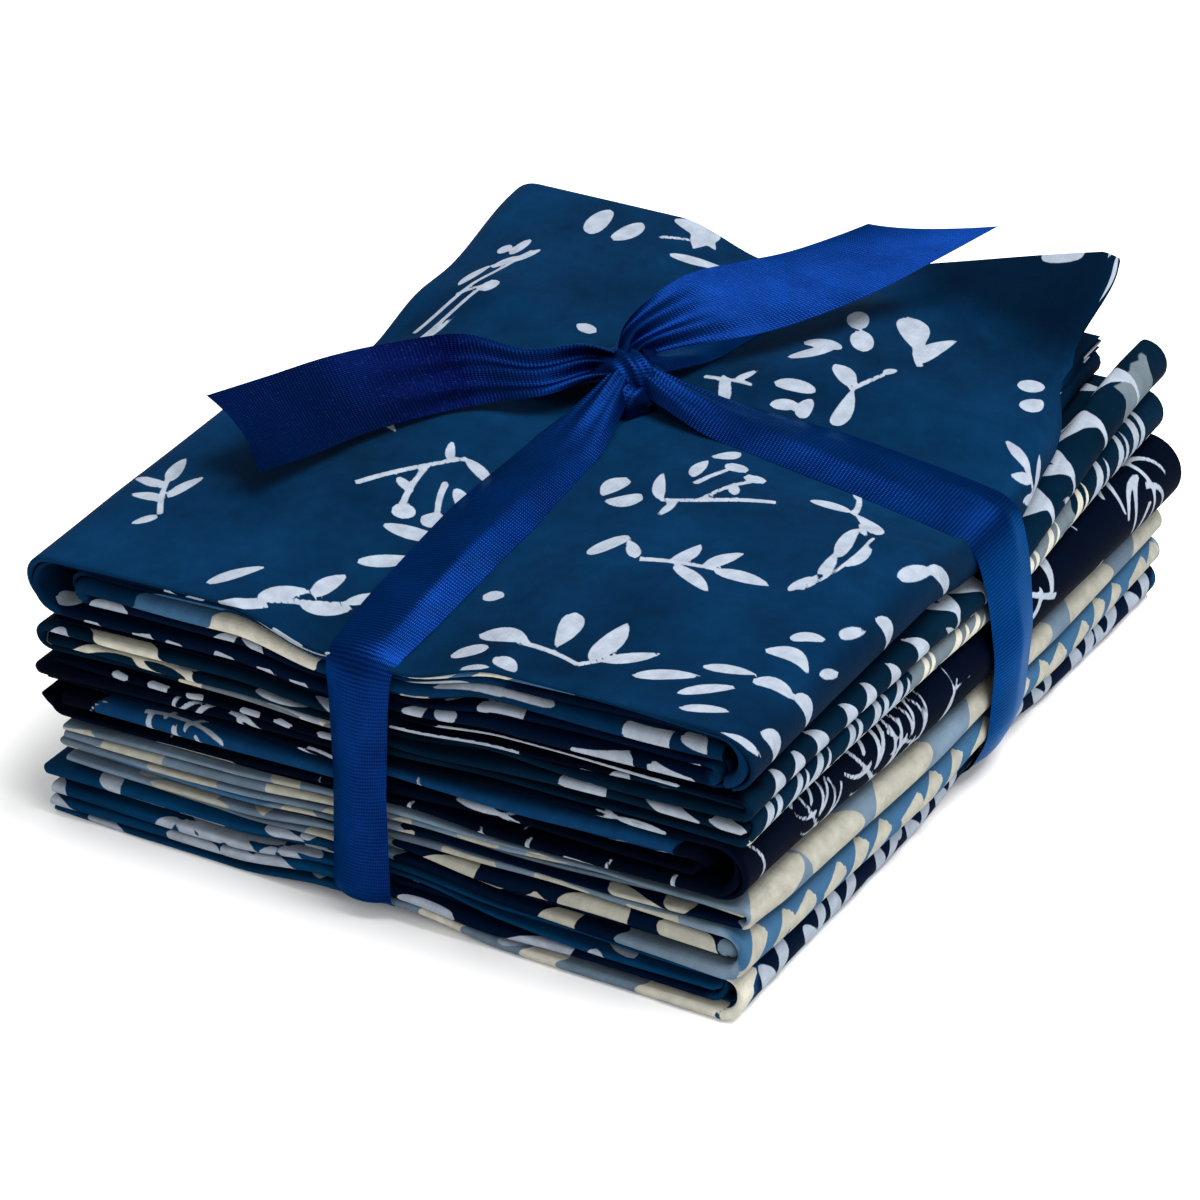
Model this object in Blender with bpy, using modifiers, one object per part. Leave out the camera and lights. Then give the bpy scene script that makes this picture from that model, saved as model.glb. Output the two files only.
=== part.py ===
"""A bundle of five folded fat quarters, tied both ways round with one ribbon.

Each fat quarter is one long strip folded back and forth in four layers. The
strip is drawn once as a section from left to right, and that section is swept
from the front edge of the cloth to its back edge. Sizes are in millimetres
here, and are turned into metres when a mesh is made.
"""

import math
from collections import namedtuple

import bmesh
import bpy
from mathutils import Vector

MM = 0.001

# Moves the bundle so that the middle of its outer box stands on the origin.
FRAME_SHIFT = (-2.075, 1.13, 0.0)

# The stack: X runs across the spines, Y from the front edge to the back edge.
HALF_WIDTH = 57.0
HALF_DEPTH = 66.5
PIECE_GAP = 0.55
LAYERS = 4

# The ribbon and where its two strands cross.
RIBBON_WIDTH = 15.0
RIBBON_THICKNESS = 1.0
RIBBON_GAP = 0.6
STRAND_X = -2.5
STRAND_Y = 8.0

# The cloth is pressed flat under a strand and recovers beside it.
PRESS_FLAT = 6.0
PRESS_END = 22.0

# The top layer swells a little between its edges.
CROWN_X = 60.0
CROWN_Y = 70.0

# The raised back right corner of the top layer, behind its crease. It keeps
# rising a little past its named end, as a share of its run.
FLAP_START_X = 10.0
FLAP_END_X = 49.0
FLAP_RISE = 11.8
FLAP_OVERRUN = 1.1
CREASE_Y = 58.0
CREASE_SLOPE = -0.2

# The second piece curls up beside the drawn-in corner of the first.
CURL_START_X = 51.5
CURL_END_X = 57.0
CURL_START_Y = 15.0
CURL_END_Y = 62.0

# Where the section and the sweep have points, before a piece bends them.
RUN_X = (-40.0, -24.0, -16.0, -8.5, 3.5, 11.0, 19.0, 35.0, 50.0)
SWEEP_Y = (-66.5, -48.0, -30.0, -12.0, -0.5, 16.5, 28.0, 44.0, 52.0, 57.0, 62.0, 66.5)
WRAP_STEPS = 8
TURN_STEPS = 5
MOST_RADIUS = 5.0

# Layers lie at levels from 0 (lowest) to 1 (highest). A turn over more than one
# layer wraps round the turns inside it, which stop short by the nest gap. A free
# end that rolls past upright covers them as a wrap does.
LAYER_STEP = 1.0 / (LAYERS - 1.0)
WRAP_RISE = 1.5 * LAYER_STEP
FLAP_LEVEL = 1.0 - LAYER_STEP
NEST_GAP = 1.5
UPRIGHT = 90.0

# The top layer's rolled end opens out from here back, to this sweep beside the crease.
ROLL_START_Y = 22.0
ROLL_END_Y = 46.0
ROLL_OPEN = 20.0

# Heights of the faces between the pieces, from the floor up: the four corners,
# the swelling in the middle, what the ribbon presses the face up or down by,
# the share of that press left in the middle, and the curl at the back right.
Face = namedtuple("Face", "front_left front_right back_left back_right crown press middle curl")
FACES = (
    Face(0.0, 0.0, 0.0, 0.0, 0.0, 1.7, 1.0, 0.0),
    Face(8.4, 6.2, 7.6, 6.2, 0.0, 1.4, 0.3, 0.0),
    Face(15.6, 18.0, 15.5, 16.5, 0.4, 0.4, 0.4, 0.0),
    Face(25.4, 28.3, 25.5, 28.5, 0.9, -0.5, 0.4, 0.0),
    Face(33.0, 36.0, 34.0, 36.5, 1.6, -1.6, 0.3, 8.0),
    Face(44.0, 46.7, 46.5, 45.5, 3.0, -4.2, 0.4, 0.0),
)

# The middle of the ribbon where it runs flat under the stack.
STRAND_FLOOR = FACES[0].press - RIBBON_GAP - RIBBON_THICKNESS / 2.0

# One row per piece, from the top down: its cloth thickness, its left and right
# edges in plan, its front and back edges in plan, the order in which the strip
# visits the layers (0 is the lowest), the side on which the strip starts, how
# far a free end stops short, and how far round a free end rolls in degrees.
Piece = namedtuple(
    "Piece",
    "name thick left_front left_back right_front right_middle right_back"
    " front_left front_right back_left back_right order start short roll",
)
PIECES = (
    Piece("fat_quarter_1", 1.7, -57.0, -55.5, 56.5, 57.5, 51.5,
          -69.5, -66.5, 64.5, 66.5, (3, 0, 1, 2), "right", 3.5, 160.0),
    Piece("fat_quarter_2", 1.3, -56.5, -55.0, 56.5, 59.3, 58.5,
          -69.0, -66.3, 65.0, 66.8, (0, 1, 2, 3), "left", 2.5, 0.0),
    Piece("fat_quarter_3", 1.7, -57.0, -55.0, 55.5, 60.3, 62.0,
          -69.3, -66.0, 64.0, 67.0, (0, 3, 2, 1), "left", 4.0, 70.0),
    Piece("fat_quarter_4", 1.25, -54.5, -54.0, 56.5, 60.0, 60.0,
          -69.0, -66.6, 64.5, 66.0, (0, 1, 2, 3), "left", 1.5, 0.0),
    Piece("fat_quarter_5", 1.1, -56.5, -55.0, 56.0, 57.5, 59.5,
          -70.0, -67.0, 65.0, 66.5, (0, 3, 2, 1), "left", 1.0, 0.0),
)

# The knot: its middle above the crossing, and its half sizes.
KNOT_OFFSET = (-0.3, -0.2, 4.3)
KNOT_RADII = (5.4, 5.2, 3.8)
KNOT_RINGS = 10
KNOT_SEGMENTS = 16

# How wide the ribbon is along each arm, from under the stack (0) to the knot (1).
# An arm follows the stack's outline from just clear of the cross beneath it. Its
# corners are rounded by one or two steps, by how far they turn in radians.
Width = namedtuple("Width", "share front back left right")
ARM_WIDTHS = (
    Width(0.00, 15.0, 15.0, 15.0, 15.0),
    Width(0.30, 13.0, 14.5, 14.5, 13.0),
    Width(0.38, 9.5, 14.0, 14.0, 11.0),
    Width(0.52, 9.0, 13.5, 13.5, 15.0),
    Width(0.66, 13.5, 14.5, 14.5, 15.0),
    Width(0.86, 14.5, 14.5, 14.5, 13.5),
    Width(1.00, 4.0, 4.0, 4.0, 4.0),
)
OUTLINE_SAMPLES = 20
OUTLINE_DIGITS = 3
SHARP_TURN = 0.6
SLIGHT_TURN = 0.2
ARM_STEP = 9.0
ARM_COLUMNS = 4
ARM_CLEAR = 0.5
KNOT_REACH = 3.2
ARM_LIFT = 3.0

# The free ends of the ribbon: the middle of each station, then half of the
# ribbon's width there as a vector from its middle to its upper edge.
Station = namedtuple("Station", "x y z half_x half_y half_z")
LEFT_TAIL = (
    Station(-3.5, 6.5, 52.4, -1.0, 0.8, 1.6),
    Station(-8.0, 4.8, 52.4, -1.6, 1.5, 2.0),
    Station(-14.4, 1.3, 52.2, -3.1, 2.8, 1.8),
    Station(-23.2, -2.2, 52.3, -3.8, 3.3, 2.7),
    Station(-29.8, -8.9, 51.8, -4.9, 3.9, 2.5),
    Station(-34.9, -17.8, 52.2, -5.7, 3.9, 3.0),
    Station(-37.0, -30.4, 53.2, -5.9, 3.0, 3.6),
    Station(-39.5, -42.1, 54.3, -6.1, 2.8, 3.3),
)
RIGHT_TAIL = (
    Station(-3.0, 7.0, 53.0, -1.0, 0.2, 1.4),
    Station(-4.2, 13.8, 53.0, -2.2, 0.0, 2.0),
    Station(-1.5, 21.0, 53.6, -4.6, 0.0, 2.6),
    Station(3.0, 29.0, 54.2, -6.3, -0.5, 3.6),
    Station(8.5, 36.0, 55.0, -6.6, -1.4, 3.3),
    Station(13.5, 43.5, 55.8, -6.9, -2.1, 2.4),
    Station(18.1, 51.5, 57.2, -7.3, -2.6, 1.4),
    Station(22.5, 59.0, 59.0, -8.0, -3.6, 0.5),
)
TAIL_COLUMNS = 2
TAIL_STEPS = 2

# Colours of the cloths and of the ribbon, as linear red, green and blue.
Paint = namedtuple("Paint", "name red green blue roughness")
PAINTS = (
    Paint("indigo_sprig_cotton", 0.006, 0.045, 0.120, 0.85),
    Paint("navy_petal_cotton", 0.003, 0.020, 0.050, 0.85),
    Paint("midnight_line_cotton", 0.002, 0.006, 0.022, 0.85),
    Paint("grey_blue_leaf_cotton", 0.240, 0.320, 0.390, 0.85),
    Paint("navy_bloom_cotton", 0.004, 0.015, 0.040, 0.85),
    Paint("royal_blue_satin", 0.003, 0.025, 0.230, 0.35),
)


def clear_scene():
    for obj in list(bpy.data.objects):
        bpy.data.objects.remove(obj, do_unlink=True)


def blend(start, end, share):
    return start + (end - start) * share


def limited(value, most=1.0):
    return min(max(value, 0.0), most)


def smooth_step(value, start, end):
    share = limited((value - start) / (end - start))
    return share * share * (3.0 - 2.0 * share)


def pressed(face, x, y):
    """How much of the face's press is felt here, under either strand."""
    towards_y = blend(face.middle, 1.0, (y / HALF_DEPTH) ** 2)
    towards_x = blend(face.middle, 1.0, (x / HALF_WIDTH) ** 2)
    under_y = 1.0 - smooth_step(abs(x - STRAND_X), PRESS_FLAT, PRESS_END)
    under_x = 1.0 - smooth_step(abs(y - STRAND_Y), PRESS_FLAT, PRESS_END)
    free = (1.0 - under_y * limited(towards_y)) * (1.0 - under_x * limited(towards_x))
    return 1.0 - free


def height(face, x, y):
    across = (x + HALF_WIDTH) / (2.0 * HALF_WIDTH)
    along = (y + HALF_DEPTH) / (2.0 * HALF_DEPTH)
    front = blend(face.front_left, face.front_right, across)
    back = blend(face.back_left, face.back_right, across)
    dome = face.crown * (1.0 - (x / CROWN_X) ** 2) * (1.0 - (y / CROWN_Y) ** 2)
    curl = smooth_step(x, CURL_START_X, CURL_END_X) * smooth_step(y, CURL_START_Y, CURL_END_Y)
    return blend(front, back, along) + dome + face.press * pressed(face, x, y) + face.curl * curl


def flap(x, y):
    """The extra height of the top layer behind the crease at its back right corner."""
    crease = CREASE_Y + CREASE_SLOPE * (x - FLAP_START_X)
    across = (x - FLAP_START_X) / (FLAP_END_X - FLAP_START_X)
    along = (y - crease) / (HALF_DEPTH - crease)
    return FLAP_RISE * limited(across, FLAP_OVERRUN) * limited(along, FLAP_OVERRUN)


def bent_through(front, middle, back, y):
    """A smooth curve through an edge's front, its middle under the strand and its back."""
    if y < STRAND_Y:
        return blend(front, middle, smooth_step(y, -HALF_DEPTH, STRAND_Y))
    return blend(middle, back, smooth_step(y, STRAND_Y, HALF_DEPTH))


def in_plan(piece, x, y):
    """Where a point of the plain oblong lies in this piece's own outline."""
    across = (x + HALF_WIDTH) / (2.0 * HALF_WIDTH)
    along = (y + HALF_DEPTH) / (2.0 * HALF_DEPTH)
    left = blend(piece.left_front, piece.left_back, along)
    right = bent_through(piece.right_front, piece.right_middle, piece.right_back, y)
    front = blend(piece.front_left, piece.front_right, across)
    back = blend(piece.back_left, piece.back_right, across)
    return blend(left, right, across), blend(front, back, along)


def placed(piece, x, y, level, raises_flap):
    """The point of a piece's section, at a level from 0 (lowest layer) to 1 (highest)."""
    x, y = in_plan(piece, x, y)
    low, high = slot(piece, x, y)
    z = blend(low, high, level)
    if raises_flap:
        z += flap(x, y) * smooth_step(level, FLAP_LEVEL, 1.0)
    return Vector((x, y, z))


def slot(piece, x, y):
    """The heights of the middle of the lowest and of the highest layer of a piece."""
    place = len(PIECES) - 1 - PIECES.index(piece)
    inset = (PIECE_GAP + piece.thick) / 2.0
    rest = piece.thick / 2.0 if place == 0 else inset
    return height(FACES[place], x, y) + rest, height(FACES[place + 1], x, y) - inset


def half_height(piece, side, y, low_level, high_level):
    low, high = slot(piece, *in_plan(piece, side * (HALF_WIDTH - piece.thick), y))
    return min((high - low) * (high_level - low_level) / 2.0, MOST_RADIUS)


def arc(side, tip, radius, first, last, steps, sweep=180.0):
    """Points from one level round to another, bulging to the side and reaching the tip."""
    points = []
    for step in range(steps + 1):
        angle = math.radians(sweep) * step / steps
        level = blend(first, last, (1.0 - math.cos(angle)) / 2.0)
        points.append((side * (tip - radius + radius * math.sin(angle)), level))
    return points


def roll_at(piece, y):
    """How far round a rolled end goes here: a full roll opens out towards the raised corner."""
    if piece.roll < UPRIGHT:
        return piece.roll
    return blend(piece.roll, ROLL_OPEN, smooth_step(y, ROLL_START_Y, ROLL_END_Y))


def strip_section(piece, y):
    """The strip at one station, as points (x, level) from its first end to its last."""
    levels = [order * LAYER_STEP for order in piece.order]
    side = -1.0 if piece.start == "left" else 1.0
    points = []
    if piece.roll:
        radius = half_height(piece, side, y, 0.0, 1.0)
        sweep = roll_at(piece, y)
        rolled = arc(side, HALF_WIDTH, radius, levels[0], 1.0 - levels[0], WRAP_STEPS, sweep)
        points += rolled[::-1]
    else:
        points.append((side * (HALF_WIDTH - piece.short), levels[0]))
    for here, after in zip(levels, levels[1:] + [None]):
        points += [(x, here) for x in (RUN_X if side < 0 else RUN_X[::-1])]
        side = -side
        if after is None:
            points.append((side * (HALF_WIDTH - piece.short - piece.thick), here))
            break
        wraps = abs(here - after) > WRAP_RISE
        radius = half_height(piece, side, y, min(here, after), max(here, after))
        inside = HALF_WIDTH if wraps else HALF_WIDTH - nesting(piece, side, here, after)
        points += arc(side, inside, radius, here, after, WRAP_STEPS if wraps else TURN_STEPS)
    return points


def nesting(piece, side, here, after):
    """How far a small turn stops short, so that it lies inside a wrap or a rolled end."""
    rises = [abs(a - b) * LAYER_STEP for a, b in zip(piece.order, piece.order[1:])]
    start_side = -1.0 if piece.start == "left" else 1.0
    sides = [start_side * (-1.0) ** (n + 1) for n in range(len(rises))]
    wrapped = any(s == side and rise > WRAP_RISE for s, rise in zip(sides, rises))
    rolled = piece.roll > UPRIGHT and side == start_side
    inner = 0.0 < min(here, after) and max(here, after) < 1.0
    if wrapped and inner or rolled:
        return piece.thick + NEST_GAP
    return 0.0


def mesh_object(name, vertices, faces, collection):
    mesh = bpy.data.meshes.new(name)
    shift = Vector(FRAME_SHIFT)
    mesh.from_pydata([(Vector(v) + shift) * MM for v in vertices], [], faces)
    mesh.shade_smooth()
    obj = bpy.data.objects.new(name, mesh)
    collection.objects.link(obj)
    return obj


def sheet_faces(rows, columns):
    return [
        (r * columns + c, r * columns + c + 1, (r + 1) * columns + c + 1, (r + 1) * columns + c)
        for r in range(rows - 1)
        for c in range(columns - 1)
    ]


def thicken(obj, thickness):
    solidify = obj.modifiers.new("thickness", "SOLIDIFY")
    solidify.thickness = thickness * MM
    solidify.offset = 0.0
    solidify.use_even_offset = True
    solidify.use_rim = True


def build_piece(piece, collection):
    vertices = []
    for y in SWEEP_Y:
        section = strip_section(piece, y)
        raises_flap = piece is PIECES[0]
        vertices += [placed(piece, x, y, level, raises_flap) for x, level in section]
    columns = len(vertices) // len(SWEEP_Y)
    obj = mesh_object(piece.name, vertices, sheet_faces(len(SWEEP_Y), columns), collection)
    thicken(obj, piece.thick)
    return obj


def cross(origin, a, b):
    return (a[0] - origin[0]) * (b[1] - origin[1]) - (a[1] - origin[1]) * (b[0] - origin[0])


def hull(points):
    """The convex outline of flat points, anticlockwise: the path of a ribbon pulled tight."""
    ordered = sorted(set(points))
    chains = []
    for run in (ordered, ordered[::-1]):
        chain = []
        for point in run:
            while len(chain) > 1 and cross(chain[-2], chain[-1], point) <= 0.0:
                chain.pop()
            chain.append(point)
        chains.append(chain[:-1])
    return chains[0] + chains[1]


def spread(outline, distance):
    """The outline moved outward, with its corners rounded."""
    points = []
    count = len(outline)
    for n, here in enumerate(outline):
        before, after = Vector(outline[n - 1]), Vector(outline[(n + 1) % count])
        here = Vector(here)
        first = Vector(((here - before).y, -(here - before).x)).normalized()
        second = Vector(((after - here).y, -(after - here).x)).normalized()
        turn = first.angle(second)
        steps = 2 if turn > SHARP_TURN else 1 if turn > SLIGHT_TURN else 0
        for step in range(steps + 1):
            share = step / steps if steps else 0.5
            points.append(here + first.lerp(second, share).normalized() * distance)
    return points


def edge_points(piece, along_y, across):
    """Where a strand at this place meets a piece: its cut edges, or its ends with their turns."""
    points = []
    lift = piece.thick / 2.0
    if along_y:
        for y in (SWEEP_Y[0], SWEEP_Y[-1]):
            x = 2.0 * across - in_plan(piece, across, y)[0]
            for layer in range(LAYERS):
                at = placed(piece, x, y, layer * LAYER_STEP, False)
                points += [(at.y, at.z - lift), (at.y, at.z + lift)]
        return points
    for x, level in strip_section(piece, across):
        y = 2.0 * across - in_plan(piece, x, across)[1]
        at = placed(piece, x, y, level, False)
        outer = at.x + math.copysign(lift, at.x)
        points += [(outer, at.z - lift), (outer, at.z + lift)]
    return points


def stack_outline(along_y):
    """Points of the stack's section under a strand, over the ribbon's whole width."""
    points = []
    centre = STRAND_X if along_y else STRAND_Y
    reach = HALF_DEPTH if along_y else HALF_WIDTH - MOST_RADIUS
    for across in (centre - RIBBON_WIDTH / 2.0, centre, centre + RIBBON_WIDTH / 2.0):
        for piece in PIECES:
            points += edge_points(piece, along_y, across)
        for sample in range(OUTLINE_SAMPLES + 1):
            run = reach * (2.0 * sample / OUTLINE_SAMPLES - 1.0)
            x, y = (across, run) if along_y else (run, across)
            points.append((run, height(FACES[-1], x, y)))
            points.append((run, height(FACES[0], x, y)))
    return [(round(a, OUTLINE_DIGITS), round(z, OUTLINE_DIGITS)) for a, z in points]


def arm_path(outline, centre, direction):
    """The part of a strand's outline from under the stack to the knot, on one side."""
    start = centre + direction * RIBBON_WIDTH / 2.0
    reach = centre + direction * KNOT_REACH
    around = outline if direction > 0.0 else outline[::-1]
    beyond = [(p.x - start) * direction > ARM_CLEAR for p in around]
    first = next(n for n in range(len(around)) if beyond[n] and not beyond[n - 1])
    around = around[first:] + around[:first]
    rising = [p for p in around if (p.x - start) * direction > ARM_CLEAR]
    top = max(p.y for p in outline)
    path = [Vector((start, STRAND_FLOOR))] + rising + [Vector((reach, top + ARM_LIFT))]
    points = [path[0]]
    for after in path[1:]:
        before = points[-1]
        pieces = max(1, round((after - before).length / ARM_STEP))
        points += [before.lerp(after, n / pieces) for n in range(1, pieces + 1)]
    return points


def width_at(share, arm):
    for low, high in zip(ARM_WIDTHS, ARM_WIDTHS[1:]):
        if share <= high.share:
            part = (share - low.share) / (high.share - low.share)
            return blend(getattr(low, arm), getattr(high, arm), part)
    return getattr(ARM_WIDTHS[-1], arm)


def strap_vertices():
    """The cross under the stack and its four arms, as one sheet of points and faces."""
    vertices = []
    faces = []
    half = RIBBON_WIDTH / 2.0
    steps = [half * (2.0 * n / ARM_COLUMNS - 1.0) for n in range(ARM_COLUMNS + 1)]
    for dy in steps:
        vertices += [(STRAND_X + dx, STRAND_Y + dy, STRAND_FLOOR) for dx in steps]
    row = ARM_COLUMNS + 1
    faces += sheet_faces(row, row)
    edges = {
        "front": [n for n in range(row)],
        "right": [n * row + row - 1 for n in range(row)],
        "back": [row * row - 1 - n for n in range(row)],
        "left": [(row - 1 - n) * row for n in range(row)],
    }
    for arm, previous in edges.items():
        along_y = arm in ("front", "back")
        direction = -1.0 if arm in ("front", "left") else 1.0
        outline = spread(hull(stack_outline(along_y)), RIBBON_GAP + RIBBON_THICKNESS / 2.0)
        path = arm_path(outline, STRAND_Y if along_y else STRAND_X, direction)
        lengths = [0.0]
        for a, b in zip(path, path[1:]):
            lengths.append(lengths[-1] + (b - a).length)
        turned = 1.0 if arm in ("front", "right") else -1.0
        for point, length in list(zip(path, lengths))[1:]:
            width = width_at(length / lengths[-1], arm)
            current = []
            for step in steps:
                offset = turned * step * width / RIBBON_WIDTH
                place = (STRAND_X + offset, point.x) if along_y else (point.x, STRAND_Y + offset)
                current.append(len(vertices))
                vertices.append((*place, point.y))
            faces += [
                (previous[c + 1], previous[c], current[c], current[c + 1])
                for c in range(ARM_COLUMNS)
            ]
            previous = current
    return vertices, faces


def eased(values, place):
    """A smooth curve through evenly spaced values, read at a place between two of them."""
    first = min(int(place), len(values) - 2)
    share = place - first
    before = values[max(first - 1, 0)]
    here, after = values[first], values[first + 1]
    beyond = values[min(first + 2, len(values) - 1)]
    bend = (after - before) * 0.5 * share
    curve = (before * 2.0 - here * 5.0 + after * 4.0 - beyond) * 0.5 * share ** 2
    twist = (here * 3.0 - before - after * 3.0 + beyond) * 0.5 * share ** 3
    return here + bend + curve + twist


def tail_vertices(stations):
    middles = [Vector((s.x, s.y, s.z)) for s in stations]
    halves = [Vector((s.half_x, s.half_y, s.half_z)) for s in stations]
    rows = (len(stations) - 1) * TAIL_STEPS + 1
    vertices = []
    for row in range(rows):
        middle = eased(middles, row / TAIL_STEPS)
        half = eased(halves, row / TAIL_STEPS)
        for column in range(TAIL_COLUMNS + 1):
            vertices.append(middle + half * (2.0 * column / TAIL_COLUMNS - 1.0))
    return vertices, sheet_faces(rows, TAIL_COLUMNS + 1)


def build_knot(helpers):
    top = height(FACES[-1], STRAND_X, STRAND_Y)
    middle = Vector((STRAND_X, STRAND_Y, top)) + Vector(KNOT_OFFSET)
    shape = bmesh.new()
    bmesh.ops.create_uvsphere(shape, u_segments=KNOT_SEGMENTS, v_segments=KNOT_RINGS, radius=1.0)
    for vertex in shape.verts:
        scaled = Vector([c * r for c, r in zip(vertex.co, KNOT_RADII)])
        vertex.co = (scaled + middle + Vector(FRAME_SHIFT)) * MM
    mesh = bpy.data.meshes.new("knot")
    shape.to_mesh(mesh)
    shape.free()
    knot = bpy.data.objects.new("knot", mesh)
    helpers.objects.link(knot)
    mark_as_helper(knot)
    return knot


def mark_as_helper(obj):
    """A shape that only serves a Boolean is drawn as a wire and left out of a render."""
    obj.hide_render = True
    obj.display_type = "WIRE"


def join_by_boolean(obj, other):
    union = obj.modifiers.new("join " + other.name, "BOOLEAN")
    union.operation = "UNION"
    union.solver = "EXACT"
    union.object = other


def build_ribbon(collection, helpers):
    vertices, faces = strap_vertices()
    ribbon = mesh_object("ribbon_tie", vertices, faces, collection)
    thicken(ribbon, RIBBON_THICKNESS)
    join_by_boolean(ribbon, build_knot(helpers))
    for name, stations in (("left tail", LEFT_TAIL), ("right tail", RIGHT_TAIL)):
        tail = mesh_object(name, *tail_vertices(stations), helpers)
        thicken(tail, RIBBON_THICKNESS)
        mark_as_helper(tail)
        join_by_boolean(ribbon, tail)
    return ribbon


def paint(obj, look):
    material = bpy.data.materials.new(look.name)
    material.use_nodes = True
    shader = material.node_tree.nodes["Principled BSDF"]
    shader.inputs["Base Color"].default_value = (look.red, look.green, look.blue, 1.0)
    shader.inputs["Roughness"].default_value = look.roughness
    obj.data.materials.append(material)


def main():
    clear_scene()
    scene = bpy.context.scene
    bundle = bpy.data.collections.new("fat_quarter_bundle")
    helpers = bpy.data.collections.new("joined_shapes")
    helpers.hide_render = True
    scene.collection.children.link(bundle)
    scene.collection.children.link(helpers)
    objects = [build_piece(piece, bundle) for piece in PIECES]
    objects.append(build_ribbon(bundle, helpers))
    for obj, look in zip(objects, PAINTS):
        paint(obj, look)


main()
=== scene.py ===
"""The looks of a bundle of five folded fat quarters, tied both ways round with one ribbon.

Each fat quarter is built as the sheet that it is: 533 x 457 mm of printed cotton, folded
in four plies into a strip, and the strip folded back and forth in four layers. Lengths
are in millimetres here, and are turned into metres when a mesh is made.
"""

import math
from collections import namedtuple

import bpy
import numpy as np
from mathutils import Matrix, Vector


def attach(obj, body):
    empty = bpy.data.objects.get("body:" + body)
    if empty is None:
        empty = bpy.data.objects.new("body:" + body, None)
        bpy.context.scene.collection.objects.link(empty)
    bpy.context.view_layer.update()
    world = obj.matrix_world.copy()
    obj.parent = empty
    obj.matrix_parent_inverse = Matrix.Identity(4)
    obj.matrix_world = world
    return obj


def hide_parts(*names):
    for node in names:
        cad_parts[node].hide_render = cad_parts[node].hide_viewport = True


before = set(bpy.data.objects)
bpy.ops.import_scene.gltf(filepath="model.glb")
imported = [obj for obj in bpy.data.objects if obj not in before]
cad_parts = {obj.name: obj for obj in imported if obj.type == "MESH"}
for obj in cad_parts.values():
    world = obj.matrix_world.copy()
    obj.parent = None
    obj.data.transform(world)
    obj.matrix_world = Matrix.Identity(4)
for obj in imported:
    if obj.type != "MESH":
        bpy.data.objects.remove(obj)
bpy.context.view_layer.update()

MM = 0.001
FRAME_SHIFT = (-2.075, 1.13, 0.0)

# The stack: X runs across the spines, Y from the front edge to the back edge.
HALF_WIDTH, HALF_DEPTH = 57.0, 66.5
LAYERS, PLIES = 4, 4
LAST_PLY = LAYERS * PLIES - 1
SHEET_LONG, SHEET_WIDE = 533.0, 457.0
PLY_RUN = SHEET_LONG / PLIES
LAST_PLY_START = (PLIES - 1) * PLY_RUN
RUN_INSET = 4.0
RUN_LENGTH = 2.0 * HALF_WIDTH - 2.0 * RUN_INSET
CLOTH_GAP = 0.22
FULL_TURN, HALF_TURN, QUARTER_TURN = 360.0, 180.0, 90.0

# The ribbon, where its two strands cross, and how far beside a strand the stack is pressed.
RIBBON_WIDTH, RIBBON_LENGTH = 15.0, 810.0
STRAND_X, STRAND_Y = -2.5, 8.0
PRESS_RANGE = (6.0, 22.0)

# How far out the dome of each face would come down to nothing.
CROWN_X, CROWN_Y = 60.0, 70.0

# The raised back right corner of the top layer: how high it stands behind its crease, and
# how far it leans out, by how far it is lifted. The roll at the right opens out beside it.
FLAP_START_X, FLAP_END_X = 10.0, 49.0
FLAP_RISE, FLAP_OVERRUN = 11.8, 1.1
FLAP_LIFTS = (0.5, 8.0)
FLAP_LEAN = (4.5, 1.0, 1.8)
CREASE_Y, CREASE_SLOPE = 58.0, -0.2
ROLL_Y = (22.0, 46.0)
ROLL_OPEN = 20.0

# Where the second piece's back right corner curls up.
CURL_X, CURL_Y = (50.0, 55.5), (15.0, 62.0)

# How far the strand draws down the left edge of the top, and how far that edge moves in.
PULL, PULL_INWARD = 2.6, 1.5
PULL_X, PULL_FRONT_Y, PULL_BACK_Y = (-58.0, -34.0), (-22.0, 0.0), (34.0, 67.0)


def table(columns, rows):
    """Rows with named columns."""
    Row = namedtuple("Row", columns)
    return [Row(*row) for row in rows]


# The faces between the pieces, from the floor up: heights at the corners, the height of the
# dome, the depth pressed by the strands (and its share in the middle), and the curl.
FACES = table("front_left front_right back_left back_right crown press middle curl", [
    (0, 0, 0, 0, 0, 1.7, 1, 0), (8.4, 6.2, 7.6, 6.2, 0, 1.4, 0.3, 0),
    (15.6, 18, 15.5, 16.5, 0.4, 0.4, 0.4, 0), (25.4, 28.3, 25.5, 28.5, 0.9, -0.5, 0.4, 0),
    (33, 36, 34, 36.5, 1.6, -1.6, 0.3, 8), (44, 46.7, 46.5, 45.5, 3, -4.2, 0.4, 0),
])

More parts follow.
